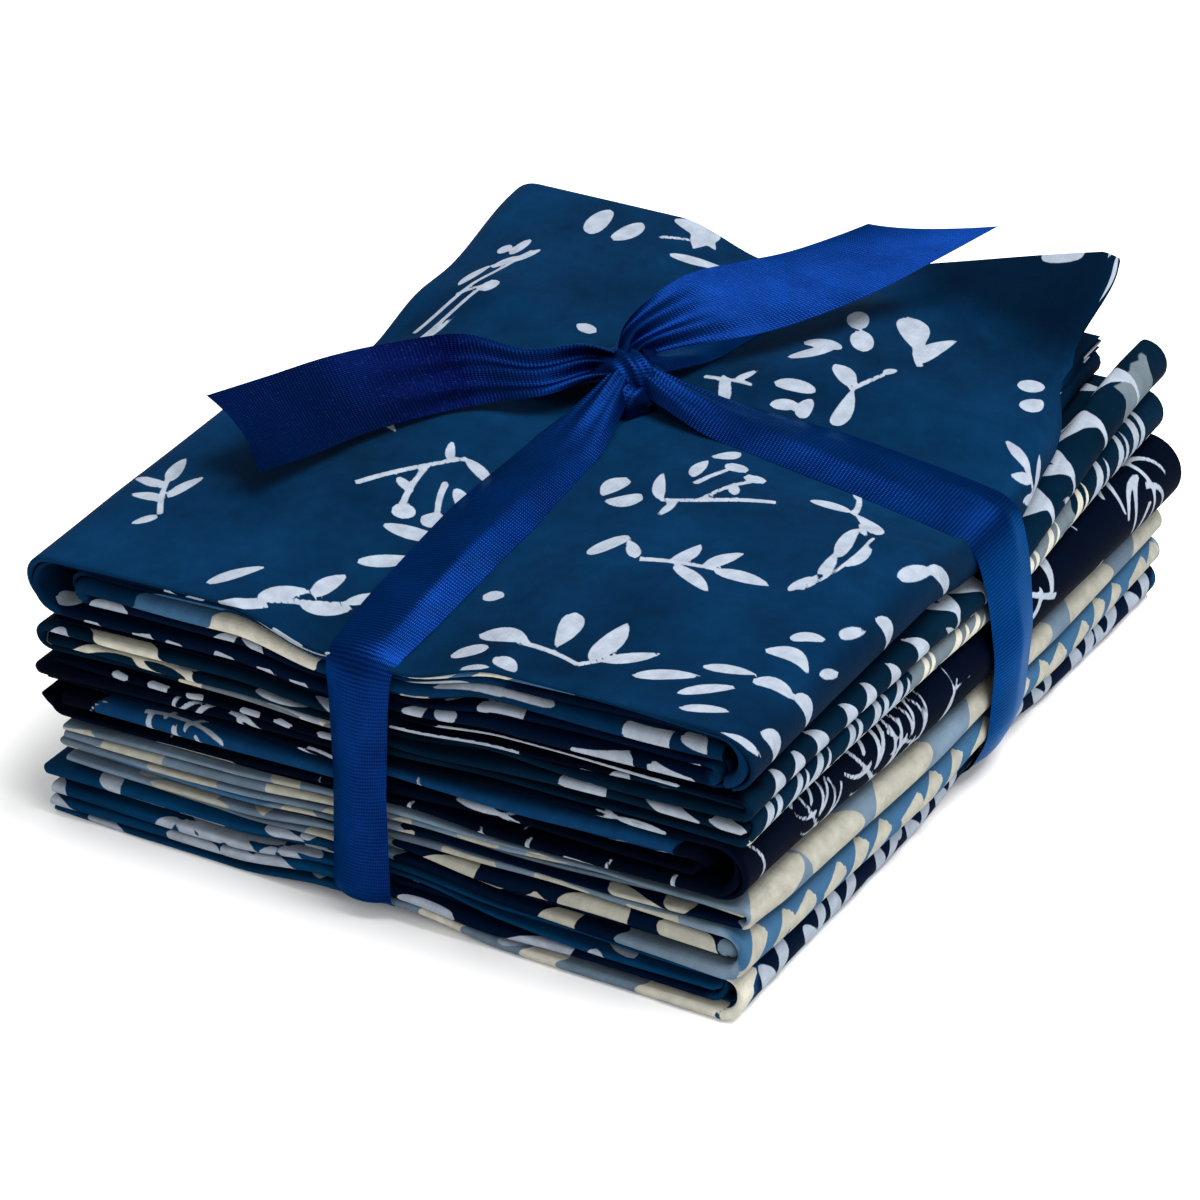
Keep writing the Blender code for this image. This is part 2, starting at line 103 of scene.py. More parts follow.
# One row per piece, from the top down: how far its outer spine stands proud, its edges in
# plan, the order in which the strip visits the layers (0 is the lowest), the side on which
# it starts, how far a free end stops short, how far round it rolls in degrees, and how far
# an inner turn stops short of the wrap round it, on the left and on the right.
PIECES = table(
    "name proud left_front left_back right_front right_middle right_back front_left front_right"
    " back_left back_right order start short roll nest_left nest_right", [
        ("fat_quarter_1", 0.85, -57, -55.5, 56.5, 57.5, 51.5, -69.5, -66.5, 64.5, 66.5,
         (3, 0, 1, 2), "right", 3.5, 160, 7, 4),
        ("fat_quarter_2", 0.65, -56.5, -55, 56.5, 59.3, 58.5, -69, -66.3, 65, 66.8,
         (0, 1, 2, 3), "left", 2.5, 0, 0, 0),
        ("fat_quarter_3", 0.85, -57, -55, 55.5, 60.3, 62, -69.3, -66, 64, 67,
         (0, 3, 2, 1), "left", 4, 70, 2, 6),
        ("fat_quarter_4", 0.6, -54.5, -54, 56.5, 60, 60, -69, -66.6, 64.5, 66,
         (0, 1, 2, 3), "left", 1.5, 0, 0, 0),
        ("fat_quarter_5", 0.55, -56.5, -55, 56, 57.5, 59.5, -70, -67, 65, 66.5,
         (0, 3, 2, 1), "left", 1, 0, 1, 3),
    ])
TOP, SECOND = PIECES[:2]

# The front folds of each piece, from the top down. Each fold takes this share of the
# piece's height at its left and right end, and stands this far behind the front edge.
FOLD_COLUMNS = ("left", "right", "back_left", "back_right")
FOLDS = {
    "fat_quarter_1": [
        (0.8, 0.5, 0, 0), (0.6, 0.6, 1, 0.5), (1, 1, 1.3, 0.9), (2.5, 1.9, 0.5, 0.1), (1.3, 0.4, 1, 3),
        (0.4, 1.1, 3, 0.8), (1.6, 1.7, 0.8, 0.3), (0.5, 0.5, 2, 2)],
    "fat_quarter_2": [
        (0.5, 0.6, 1.4, 1), (0.4, 0.6, 3, 1.6), (2, 0.8, 0.2, 1.2), (0.4, 1.5, 3, 0.6), (1.9, 0.4, 0.5, 3),
        (1.1, 1.6, 1.2, 0.5), (0.4, 0.4, 3, 2.6), (1.3, 1.1, 0.4, 0.8)],
    "fat_quarter_3": [
        (1.7, 1.1, 0, 0.8), (0.4, 0.4, 3, 2.6), (0.7, 2.1, 1.6, 0.2), (0.4, 0.4, 3, 2.4),
        (2.3, 1.1, 0.4, 0.9), (0.5, 0.4, 3, 3), (0.8, 1.5, 1.2, 0.4), (0.6, 0.5, 2.2, 2)],
    "fat_quarter_4": [
        (0.9, 0.5, 0.6, 2), (1.4, 0.5, 0.3, 2.6), (0.4, 0.4, 3, 3), (1.1, 0.6, 0.9, 1.6),
        (0.8, 0.9, 1.6, 1), (0.4, 2.2, 3, 0.2), (1.1, 0.4, 1, 2.6), (0.5, 1.6, 2, 0.3)],
    "fat_quarter_5": [
        (1.4, 0.5, 0.4, 2), (0.5, 0.4, 1.6, 2.8), (0.4, 0.4, 3.4, 3), (0.4, 1, 3.6, 0.8),
        (1.8, 0.4, 0.4, 2.8), (1.6, 1.5, 0.2, 0.6), (0.4, 0.4, 3, 2.6), (0.7, 2, 0.9, 0)],
}
FOLD_MARGIN = 0.10
FOLD_REACH = 16.0
FOLD_SPAN = HALF_WIDTH * 0.8

# The gentle waves of the front folds: how high, how long, and how each fold differs.
PLY_WAVE = (0.35, 9.0, 0.8)
SETBACK_WAVES = ((0.5, 13.0, 2.1), (0.25, 5.3, 1.3))
SETBACK_WAVE = 0.6

# The radius of a fold at the back, and where across a turn its front folds are measured.
BACK_RADIUS, MEASURED_AT = 0.35, 0.9

# Soft ridges (up) and troughs (down) of the top: place, direction in degrees, half length,
# half width and rise.
CREASES = table("x y turn long wide rise", [
    (-24, 20, 152, 26, 6, 0.55), (-20, 33, 128, 24, 7, -0.45), (-22, -9, 200, 24, 7, 0.5),
    (14, 24, 40, 20, 6, 0.45), (20, 34, 62, 22, 7, -0.4), (24, -12, -36, 26, 7, 0.45),
    (14, -30, -70, 24, 5, -0.4), (34, -40, -20, 20, 8, 0.5), (-34, -40, 30, 24, 8, 0.45),
    (-44, 8, 80, 26, 6, 0.4), (40, 22, 12, 16, 6, 0.45), (4, 52, 160, 26, 7, 0.55),
    (-12, -50, 6, 20, 5, -0.35),
])
CREASE_FALL = 1.5

# How closely the sheets are drawn: coarse blocks in millimetres, their parts where they
# show, the parts of a fold and a turn, and how much shows beside the flap and at the front.
COARSE = 5.0
TOP_PARTS, SIDE_PARTS, FOLD_PARTS, TURN_PARTS = 8, 10, 6, 6
BESIDE_FLAP = 0.86
FRONT_SHOWN = 6.0
SLIGHT = 1e-6


def blend(start, end, share):
    return start + (end - start) * share


def limited(value, most=1.0):
    return np.clip(value, 0.0, most)


def smooth_step(value, start, end):
    share = limited((value - start) / (end - start))
    return share * share * (3.0 - 2.0 * share)


def rotated(x, y, degrees):
    angle = np.radians(degrees)
    return x * np.cos(angle) - y * np.sin(angle), x * np.sin(angle) + y * np.cos(angle)


def plan_shares(x, y):
    """How far across and along the plain oblong a point lies."""
    return (x + HALF_WIDTH) / (2.0 * HALF_WIDTH), (y + HALF_DEPTH) / (2.0 * HALF_DEPTH)


def pressed(face, x, y):
    """How much of the face's press is felt here, under either strand."""
    towards_y = limited(blend(face.middle, 1.0, (y / HALF_DEPTH) ** 2))
    towards_x = limited(blend(face.middle, 1.0, (x / HALF_WIDTH) ** 2))
    under_y = 1.0 - smooth_step(np.abs(x - STRAND_X), *PRESS_RANGE)
    under_x = 1.0 - smooth_step(np.abs(y - STRAND_Y), *PRESS_RANGE)
    return 1.0 - (1.0 - under_y * towards_y) * (1.0 - under_x * towards_x)


def height(face, x, y):
    across, along = plan_shares(x, y)
    front = blend(face.front_left, face.front_right, across)
    back = blend(face.back_left, face.back_right, across)
    dome = face.crown * (1.0 - (x / CROWN_X) ** 2) * (1.0 - (y / CROWN_Y) ** 2)
    curl = smooth_step(x, *CURL_X) * smooth_step(y, *CURL_Y)
    return blend(front, back, along) + dome + face.press * pressed(face, x, y) + face.curl * curl


def flap(x, y):
    """The extra height of the top layer behind the crease at its back right corner."""
    crease = CREASE_Y + CREASE_SLOPE * (x - FLAP_START_X)
    across = (x - FLAP_START_X) / (FLAP_END_X - FLAP_START_X)
    along = (y - crease) / (HALF_DEPTH - crease)
    return FLAP_RISE * limited(across, FLAP_OVERRUN) * limited(along, FLAP_OVERRUN)


def pulled_down(x, y):
    near, behind = 1.0 - smooth_step(x, *PULL_X), 1.0 - smooth_step(y, *PULL_BACK_Y)
    return PULL * near * behind * smooth_step(y, *PULL_FRONT_Y)


def creased(x, y):
    total = np.zeros(np.broadcast(x, y).shape)
    for crease in CREASES:
        along, across = rotated(x - crease.x, y - crease.y, -crease.turn)
        fall = (along / crease.long) ** 2 + (across / crease.wide) ** 2
        total = total + crease.rise * np.exp(-fall * CREASE_FALL)
    return total


def in_plan(piece, x, y):
    """Where a point of the plain oblong lies in this piece's own outline."""
    across, along = plan_shares(x, y)
    left = blend(piece.left_front, piece.left_back, along)
    before = blend(piece.right_front, piece.right_middle, smooth_step(y, -HALF_DEPTH, STRAND_Y))
    behind = blend(piece.right_middle, piece.right_back, smooth_step(y, STRAND_Y, HALF_DEPTH))
    front = blend(piece.front_left, piece.front_right, across)
    back = blend(piece.back_left, piece.back_right, across)
    return blend(left, np.where(y < STRAND_Y, before, behind), across), blend(front, back, along)


def piece_height(piece, x, y):
    """The lowest and the highest ply of a piece at a place in plan."""
    place = len(PIECES) - 1 - PIECES.index(piece)
    gap = CLOTH_GAP / 2.0
    return height(FACES[place], x, y) + gap, height(FACES[place + 1], x, y) - gap


def fold_column(piece, column):
    """One measure of the piece's front folds, from the lowest up."""
    return np.array(FOLDS[piece.name])[::-1, FOLD_COLUMNS.index(column)]


def ply_shares(piece, column):
    """The share of the piece's height at which each ply lies at one end of the front edge."""
    sizes = fold_column(piece, column)
    tops = np.cumsum(sizes) / sizes.sum()
    lows = tops - sizes / sizes.sum()
    margin = FOLD_MARGIN * (tops - lows)
    shares = np.stack([lows + margin, tops - margin], axis=1).ravel()
    return (shares - shares[0]) / (shares[-1] - shares[0])


def ply_height(piece, ply, x, y):
    """The height of a ply, counted from the lowest, over a point of the plain oblong."""
    numbers = np.arange(LAST_PLY + 1)
    left, right = (np.interp(ply, numbers, ply_shares(piece, end)) for end in ("left", "right"))
    most, long, step = PLY_WAVE
    wave = most * np.sin(x / long + ply * step) / (LAST_PLY + 1)
    inside = (ply > 0.5) & (ply < LAST_PLY - 0.5)
    at_front = blend(left, right, smooth_step(x, -FOLD_SPAN, FOLD_SPAN)) + np.where(inside, wave, 0.0)
    near = 1.0 - smooth_step(y, -HALF_DEPTH, -HALF_DEPTH + FOLD_REACH)
    share = blend(ply / LAST_PLY, at_front, near)
    x, y = in_plan(piece, x, y)
    low, high = piece_height(piece, x, y)
    if piece is not TOP:
        return blend(low, high, share)
    raised = (flap(x, y) + creased(x, y)) * smooth_step(ply, LAST_PLY - PLIES, LAST_PLY)
    return blend(low, high - pulled_down(x, y), share) + raised


# A stretch of the strip: a run along a layer, a turn from one layer to another, or a rolled
# end. It lies on one side, its plies count upwards or downwards, it goes from one place to
# another along the strip, and an inner turn nests this far inside the wrap round it.
Stretch = namedtuple("Stretch", "kind level other side sign start end nest")


def turn_radius(piece, stretch, y):
    """Half the height between the outermost plies of a turn."""
    low = PLIES * min(stretch.level, stretch.other)
    high = PLIES * max(stretch.level, stretch.other) + PLIES - 1
    edge = np.full_like(y, stretch.side * (HALF_WIDTH - RUN_INSET))
    top, bottom = (ply_height(piece, np.full_like(y, float(ply)), edge, y) for ply in (high, low))
    return (top - bottom) / 2.0


def turn_centre(piece, stretch, y):
    """The distance from the middle of the stack to the centre of a turn."""
    return HALF_WIDTH + piece.proud - stretch.nest - turn_radius(piece, stretch, y)


def strip_stretches(piece):
    """The runs and turns of the strip from its first end to its last, with their lengths."""
    side = -1.0 if piece.start == "left" else 1.0
    sign = 1.0 if piece.order[0] == LAYERS - 1 else -1.0
    wide = [abs(a - b) > 1 for a, b in zip(piece.order, piece.order[1:])]
    sides = [side * (-1.0) ** (n + 1) for n in range(len(wide))]
    rolled = piece.roll > QUARTER_TURN
    stretches = []

    def add(kind, level, other, nest=0.0, degrees=HALF_TURN):
        start = stretches[-1].end if stretches else 0.0
        stretch = Stretch(kind, level, other, side, sign, start, start, nest)
        length = RUN_LENGTH
        if kind != "run":
            length = math.radians(degrees) * turn_radius(piece, stretch, np.zeros(1))[0]
        stretches.append(stretch._replace(end=start + length))

    if piece.roll:
        add("roll", piece.order[0], LAYERS - 1 - piece.order[0], degrees=piece.roll)
    for n, level in enumerate(piece.order):
        side = -side
        add("run", level, level)
        if n == LAYERS - 1:
            break
        other = piece.order[n + 1]
        covered = any(w and s == side for w, s in zip(wide, sides)) or (rolled and side != sides[0])
        inner = (covered and not wide[n] and min(level, other) > 0) or (rolled and side > 0)
        nest = piece.nest_left if side < 0 else piece.nest_right
        add("turn", level, other, nest if inner else 0.0)
        sign = -sign
    scale = SHEET_WIDE / stretches[-1].end
    return [s._replace(start=s.start * scale, end=s.end * scale) for s in stretches]


def turned(piece, stretch, part, y):
    """How far round a turn or a rolled end a point lies, in radians. A full roll opens out
    towards the raised corner."""
    if stretch.kind == "turn":
        return np.pi * part
    opened = ROLL_OPEN if piece.roll > QUARTER_TURN else piece.roll
    return np.radians(blend(piece.roll, opened, smooth_step(y, *ROLL_Y))) * (1.0 - part)


def run_end(piece, stretches, n, side, y):
    """Where a run ends on one side: at its turn's centre, or at its free end."""
    beside = n + 1 if stretches[n].side == side else n - 1
    if 0 <= beside < len(stretches):
        return side * turn_centre(piece, stretches[beside], y)
    return np.full_like(y, side * (HALF_WIDTH - piece.short))


def fold_setback(piece, band, x):
    """How far a front fold, counted from the lowest, stands behind the front edge."""
    left, right = (fold_column(piece, end)[band] for end in ("back_left", "back_right"))
    wave = sum(high * np.sin(x / long + band * step) for high, long, step in SETBACK_WAVES)
    across = smooth_step(x, -FOLD_SPAN, FOLD_SPAN)
    return np.maximum(blend(left, right, across) + wave * SETBACK_WAVE, 0.0)


def front_line(piece, level, sign, pair, x):
    """Where a fold's straight part ends at the front, and the fold's radius."""
    band = PLIES // 2 * level + (pair if sign > 0 else 1 - pair)
    edge = np.full_like(x, -HALF_DEPTH)
    low, high = (ply_height(piece, 2.0 * band + ply, x, edge) for ply in (0.0, 1.0))
    radius = (high - low) / 2.0
    return -HALF_DEPTH + fold_setback(piece, band, x) + radius, radius


def stretch_points(piece, stretches, n, part, ply, front, out):
    """Points of one stretch of the folded sheet, as sheet_points is given them."""
    stretch = stretches[n]
    straight = stretch.kind == "run"
    pair = (ply > (PLIES - 1) / 2.0).astype(int)
    q = ply if stretch.sign > 0 else PLIES - 1 - ply
    rough_x = np.full(len(part), stretch.side * HALF_WIDTH * MEASURED_AT)
    if straight:
        rough_x = blend(-rough_x, rough_x, part)
    line, radius = front_line(piece, stretch.level, stretch.sign, pair, rough_x)
    if not straight:
        angle = turned(piece, stretch, part, blend(HALF_DEPTH, -HALF_DEPTH, front))
        far = front_line(piece, stretch.other, -stretch.sign, pair, rough_x)
        share = (1.0 - np.cos(angle)) / 2.0
        line, radius = blend(line, far[0], share), blend(radius, far[1], share)
    y = blend(HALF_DEPTH - BACK_RADIUS, line, front) - np.where(out > 0.0, radius, BACK_RADIUS) * out
    first = PLIES * stretch.level + q
    if straight:
        start, end = (run_end(piece, stretches, n, side, y) for side in (-stretch.side, stretch.side))
        x = blend(start, end, part)
        z = ply_height(piece, first, x, y)
    else:
        edge = stretch.side * turn_centre(piece, stretch, y)
        z = ply_height(piece, first, edge, y)
        half = (ply_height(piece, PLIES * stretch.other + PLIES - 1 - q, edge, y) - z) / 2.0
        x = edge + stretch.side * np.abs(half) * np.sin(angle)
        z = z + half * (1.0 - np.cos(angle))
    x, y = in_plan(piece, x, y)
    if piece is TOP:
        x = x + PULL_INWARD * pulled_down(x, y)
        lean = smooth_step(z - piece_height(piece, x, y)[1], *FLAP_LIFTS)
        x, y, z = (place + lean * most for place, most in zip((x, y, z), FLAP_LEAN))
    return np.stack([x, y, z], axis=1)


def sheet_points(piece, stretches, number, part, ply, front, out):
    """Points of the folded sheet. A point is given by its stretch and how far along that it
    lies, by its ply (0 to 3, and between two in a fold), by how far it lies towards the
    front edge, and by how far it bulges out of a fold there (1) or at the back (-1)."""
    points = np.zeros((len(number), 3))
    for n in range(len(stretches)):
        here = number == n
        points[here] = stretch_points(
            piece, stretches, n, part[here], ply[here], front[here], out[here])
    return points


def fine_parts(piece):
    """In how many parts a coarse block of the drawing grid is split where it shows."""
    return TOP_PARTS if piece is TOP else SIDE_PARTS


def ply_lines(piece):
    """The lines across the plies: ply, share towards the front, bulge, and if it is coarse."""
    rows = []
    parts = fine_parts(piece)
    steps = int(round(PLY_RUN / COARSE)) * parts
    for ply in range(PLIES):
        to_front, last = ply % 2 == 0, ply == PLIES - 1
        for step in range(steps + last):
            share = step / steps
            rows.append((ply, share if to_front else 1.0 - share, 0.0, step % parts == 0))
        for step in range(0 if last else FOLD_PARTS):
            angle = math.pi * step / FOLD_PARTS
            bulge = math.sin(angle) * (1.0 if to_front else -1.0)
            between = ply + (1.0 - math.cos(angle)) / 2.0
            rows.append((between, float(to_front), bulge, step == 0 or not to_front))
    return [np.array(column) for column in zip(*rows)]


def strip_lines(piece, stretches):
    """The lines across the strip: which stretch, how far along it, and if it is coarse."""
    rows = []
    for n, stretch in enumerate(stretches):
        length = stretch.end - stretch.start
        blocks, parts = int(round(length / COARSE)), fine_parts(piece)
        if stretch.kind != "run":
            blocks = TURN_PARTS
            parts = max(1, int(round(length / blocks / (COARSE / fine_parts(piece)))))
        steps = blocks * parts
        for step in range(steps + (n == len(stretches) - 1)):
            rows.append((n, step / steps, step % parts == 0))
    return [np.array(column) for column in zip(*rows)]


def grid_mesh(rows_coarse, columns_coarse, is_fine):
    """Faces over a grid that is fine only where asked, with its vertices' grid places."""
    rows, columns = np.flatnonzero(rows_coarse), np.flatnonzero(columns_coarse)
    used = np.zeros((len(rows_coarse), len(columns_coarse)), bool)
    blocks = []
    for r0, r1 in zip(rows, rows[1:]):
        for c0, c1 in zip(columns, columns[1:]):
            fine = is_fine(r0, r1, c0, c1)
            blocks.append((r0, r1, c0, c1, fine))
            if fine:
                used[r0:r1 + 1, c0:c1 + 1] = True
            else:
                used[[r0, r0, r1, r1], [c0, c1, c0, c1]] = True
    index = np.full(used.shape, -1)
    index[used] = np.arange(used.sum())
    quads, others = [], []
    for r0, r1, c0, c1, fine in blocks:
        if fine:
            block = index[r0:r1 + 1, c0:c1 + 1]
            corners = (block[:-1, :-1], block[:-1, 1:], block[1:, 1:], block[1:, :-1])
            quads.append(np.stack(corners, axis=-1).reshape(-1, 4))
            continue
        sides = index[r0, c0:c1], index[r0:r1, c1], index[r1, c1:c0:-1], index[r1:r0:-1, c0]
        loop = np.concatenate(sides)
        others.append(loop[loop >= 0].tolist())
    return *np.nonzero(used), np.concatenate(quads).tolist() + others


def linked(name, data):
    obj = bpy.data.objects.new(name, data)
    bpy.context.scene.collection.objects.link(obj)
    return obj


def make_object(name, points, faces, u, v):
    """A smooth mesh object of points in millimetres in the bundle's own place. Its map
    coordinates are the place on the flat cloth, in metres."""
    mesh = bpy.data.meshes.new(name)
    shifted = (np.asarray(points) + np.array(FRAME_SHIFT)) * MM
    mesh.from_pydata(shifted.tolist(), [], faces)
    mesh.shade_smooth()
    layer = mesh.uv_layers.new(name="cloth")
    corner = np.zeros(len(mesh.loops), np.int32)
    mesh.loops.foreach_get("vertex_index", corner)
    flat = np.stack([u[corner], v[corner]], axis=1) * MM
    layer.data.foreach_set("uv", flat.astype(np.float32).ravel())
    return linked(name, mesh)


def add_values(obj, name, values):
    attribute = obj.data.attributes.new(name, "FLOAT", "POINT")
    attribute.data.foreach_set("value", np.asarray(values, np.float32))


# ---------------------------------------------------------------- the prints

# The strokes of each motif: root, direction in degrees, length and greatest width, how far
# it bows to its left, and its form.
LEAF, OVAL, DROP, LINE, BLOCK = range(5)
Stroke = namedtuple("Stroke", "x y turn long wide bow form", defaults=(0, LEAF))
MOTIFS = {
    "dot": [(-1.2, 0, 0, 2.4, 2.2, 0, OVAL)],
    "oval": [(-3.4, 0, 0, 6.8, 3, 0.2, OVAL)],
    "leaf": [(-5.4, 0, 0, 10.8, 2.9, 0.4)],
    "pair": [(0.4, 0.7, 62, 5.6, 3.9, 0.3, DROP), (0.9, -0.5, -8, 5.8, 3.7, -0.3, DROP)],
    "two petals": [(-1.7, -3.7, 100, 7.8, 3.6, 0.3, OVAL), (2.2, -4, 80, 6.4, 3.5, -0.3, OVAL)],
    "ovals": [(-3.1, -4.3, 51, 9.6, 2.9, -0.4), (-3.1, 2, -2, 6.8, 3, 0.4, OVAL)],
    "three ovals": [
        (-3.6, 2.2, 2, 6.8, 2.8, 0.2, OVAL), (-2, -3, 19, 4.2, 2.8, 0, OVAL),
        (3.6, -4.4, 96, 5, 2.5, 0.3, OVAL)],
    "eight": [(-3.1, 5.5, -61, 6.4, 3.6, 0, OVAL), (0.2, -0.4, -61, 6.2, 3.8, 0, OVAL)],
    "beads": [(-3.3, 2.2, 29, 4.4, 3.6, 0, OVAL), (-1.2, -3.4, 36, 5.2, 3.8, 0, OVAL)],
    "vee": [
        (0, 0, 118, 6.5, 1.1, 0.3, LINE), (-2.4, 4.6, 120, 10.8, 5.2, -0.5, DROP),
        (-0.8, 0.8, 75, 10.8, 3.5, 0.9)],
    "heart": [
        (-7.2, 3.7, -19, 10.5, 3.8, 0.8), (-2.8, -7.5, 23, 10.3, 2.3),
        (-0.3, -2.7, 88, 8.2, 4.4, 0.5, DROP), (-6.6, -3.6, 30, 6, 0.9, 0, LINE)],
    "fork": [(-4, 1.2, 0, 8.1, 1, 0.3, LINE), (-1.4, 2.6, -67, 11, 1.9, 0.4), (1, 1.4, 62, 4.6, 1.6)],
    "wye": [
        (0, 0, 64, 8.8, 1, -0.3, LINE), (0.3, 0.4, -87, 9, 2.8, 0.4, DROP),
        (-0.2, 1, 138, 6, 3.1, -0.3, OVAL), (2.8, 6.4, 50, 2.8, 1.5)],
    "berries": [
        (-9.6, -4, 57, 17, 1.15, 0.4, LINE), (-0.6, -6.9, 104, 12.4, 1.05, 0.5, LINE),
        (-2.3, -5.7, 0, 3.4, 3.3, 0, OVAL), (2.2, -5.3, 0, 3.6, 3.5, 0, OVAL),
        (0.6, 3.6, -66, 9.2, 1.05, -0.4, LINE), (8.6, -8.9, 90, 5.4, 2.5, 0.2),
        (-0.3, 10.2, -33, 8.6, 2, 0.4), (2.5, 3, -48, 7.4, 2.2, 0.3), (-5.5, 0.5, -28, 4.2, 1.7),
        (-1.6, 8.2, 118, 5.6, 1.4, 0.2)],
    "wand": [
        (-11.2, 0.7, 0, 24, 1.2, -0.6, LINE), (-16.4, -3.7, 2, 18.4, 1.2, 0.4, LINE), (-16, -4.2, -3, 9, 2),
        (-1.1, 3.3, 4, 7.6, 2.6, 0.3), (5.6, 2.7, -20, 5.2, 2.4, 0.2, OVAL),
        (9.9, 6.5, 0, 2.9, 2.7, 0, OVAL), (10.4, 3.5, 13, 5.4, 2.4, 0, OVAL),
        (-1.2, -3.9, 0, 3.4, 3.1, 0, OVAL), (8.4, 0.6, -10, 6, 2.1), (-3, 0.8, -50, 4.4, 0.9, 0, LINE)],
    "spray": [
        (0, 0, 0, 25, 1.05, -1.4, LINE), (-1.8, 1.6, -10, 8.2, 2.2, 0.3), (6.4, 0.2, 14, 9.4, 2.4, -0.4),
        (12.6, -2.2, 4, 9.2, 2.6, -0.4), (14, 1, 16, 13.2, 3.2, 0.4), (24.2, 1.4, 46, 6.8, 1.2)],
    "sprig": [
        (-7, -3.6, 34, 12, 1.1, 0.5, LINE), (1.8, 2.2, 22, 8.6, 2.8, 0.3), (0.4, 1.6, 84, 6.8, 2.5, 0.4),
        (-3.4, -1.2, 100, 6.8, 2.4, -0.4), (-2.6, -1.2, -8, 8.6, 2.5, 0.4), (-7.6, -3.8, 150, 5, 2)],
    "vine": [
        (-12.2, 0.3, -10, 8.8, 3.5, 0.4), (-4.6, -1.6, -8, 9.6, 1, 0.5, LINE),
        (0.3, -0.9, 102, 8.8, 3.4, -0.4, DROP), (6, -1.2, 89, 9.8, 3.5, -0.4),
        (7.4, -0.9, 37, 8.2, 2.4, -0.2), (4.8, -3.2, 41, 4.4, 1, 0, LINE)],
    "edge sprig": [
        (-11, -1, 0, 20, 1, 0.6, LINE), (-11.4, -1.2, -4, 7.6, 2.4, 0.3), (-5.2, 0.2, 12, 7.6, 2.4, 0.4),
        (0.2, -0.8, -10, 7.4, 2.6, -0.3), (2.2, 0.8, 42, 7, 2.6, 0.3), (6.4, -0.6, 4, 7, 2.4, 0.3)],
    "leaflets": [
        (-5.4, 1, 10, 5.4, 3, 0.2, OVAL), (2.2, -0.4, -23, 5.2, 2.5, 0.3), (-1.6, -3, 4, 4.6, 1.6)],
    "moon": [(-2.9, -0.3, 0, 5.8, 2.9, 1.3)],
    "low moon": [(-2.9, 0.3, 0, 5.8, 2.9, -1.3)],
    "short slice": [(-3.4, -0.5, 0, 6.8, 2.4, 1)],
    "crescents": [(-2.6, -4.4, 70, 9.4, 2.4, -2), (0.8, -4.6, 74, 9.2, 1.9, -2.1)],
    "crescent": [(-0.6, -4.8, 82, 9.8, 3.4, -2.3)],
    "stems": [
        (0.6, -8, 92, 9.4, 1.2, 0.7, LINE), (0.4, 0.4, 116, 7.8, 3.1, -0.5, DROP),
        (0.6, 0.2, 64, 8, 3.1, 0.5, DROP), (-0.2, -4.4, 142, 6.4, 1.5, -0.5)],
    "petals": [
        (-0.4, -4.2, 96, 9, 3.7, 0.5, OVAL), (1, -4, 50, 8.2, 3.4, -0.5, OVAL),
        (-1.6, -4, 142, 8, 3.3, 0.5, OVAL)],
    "petal": [(-4.8, 0, 8, 9.6, 5.2, 0.8, OVAL)],
    "boat": [(-6, 0, 0, 12, 3.8, -1.5)],
    "hook": [(-5, 2.4, -48, 6, 1.7, 0.8, LINE), (-1.2, -1.6, 4, 8.6, 1.8, -1.1, LINE)],
    "dash": [(-1.2, 0, 0, 2.4, 1.9, 0, BLOCK)],
    "bar": [(-2.8, 0, 0, 5.6, 2.4, 0, BLOCK)],
    "slab": [(-4.6, 0, 0, 9.2, 4.2, 0.4, BLOCK)],
    "tick": [(0, -2.2, 88, 4.4, 0.7, 0.2, LINE)],
    "etching": [
        (0, -7.4, 92, 15.4, 0.9, 1.3, LINE), (0.2, -6, 44, 10.4, 0.9, -1.8, LINE),
        (0.2, -6, 22, 10, 0.9, -1.2, LINE), (0, -1.2, 50, 8.6, 0.9, -1.5, LINE),
        (0, -1.2, 26, 8.2, 0.9, -1.2, LINE), (0, 2.8, 58, 6.4, 0.9, -1, LINE),
        (-0.2, -3.6, 140, 8, 0.9, 1.5, LINE), (-0.2, 0.6, 132, 7, 0.9, 1.2, LINE)],
    "outline": [
        (-6, -3, 58, 12.6, 0.66, -2.4, LINE), (-6, -3, 14, 12.8, 0.66, 2.6, LINE),
        (-5.2, -2.6, 36, 9, 0.66, 0.3, LINE)],
    "arc": [(-6.2, -0.6, 12, 12.6, 0.66, -2.4, LINE)],
    "big leaf": [(-7, -1.5, 14, 14.5, 7, 1, OVAL)],
    "big leaves": [(-7.6, -2.5, 30, 15, 5.8, 0.9), (-5, -4.2, -8, 14, 5.2, -0.8)],
}

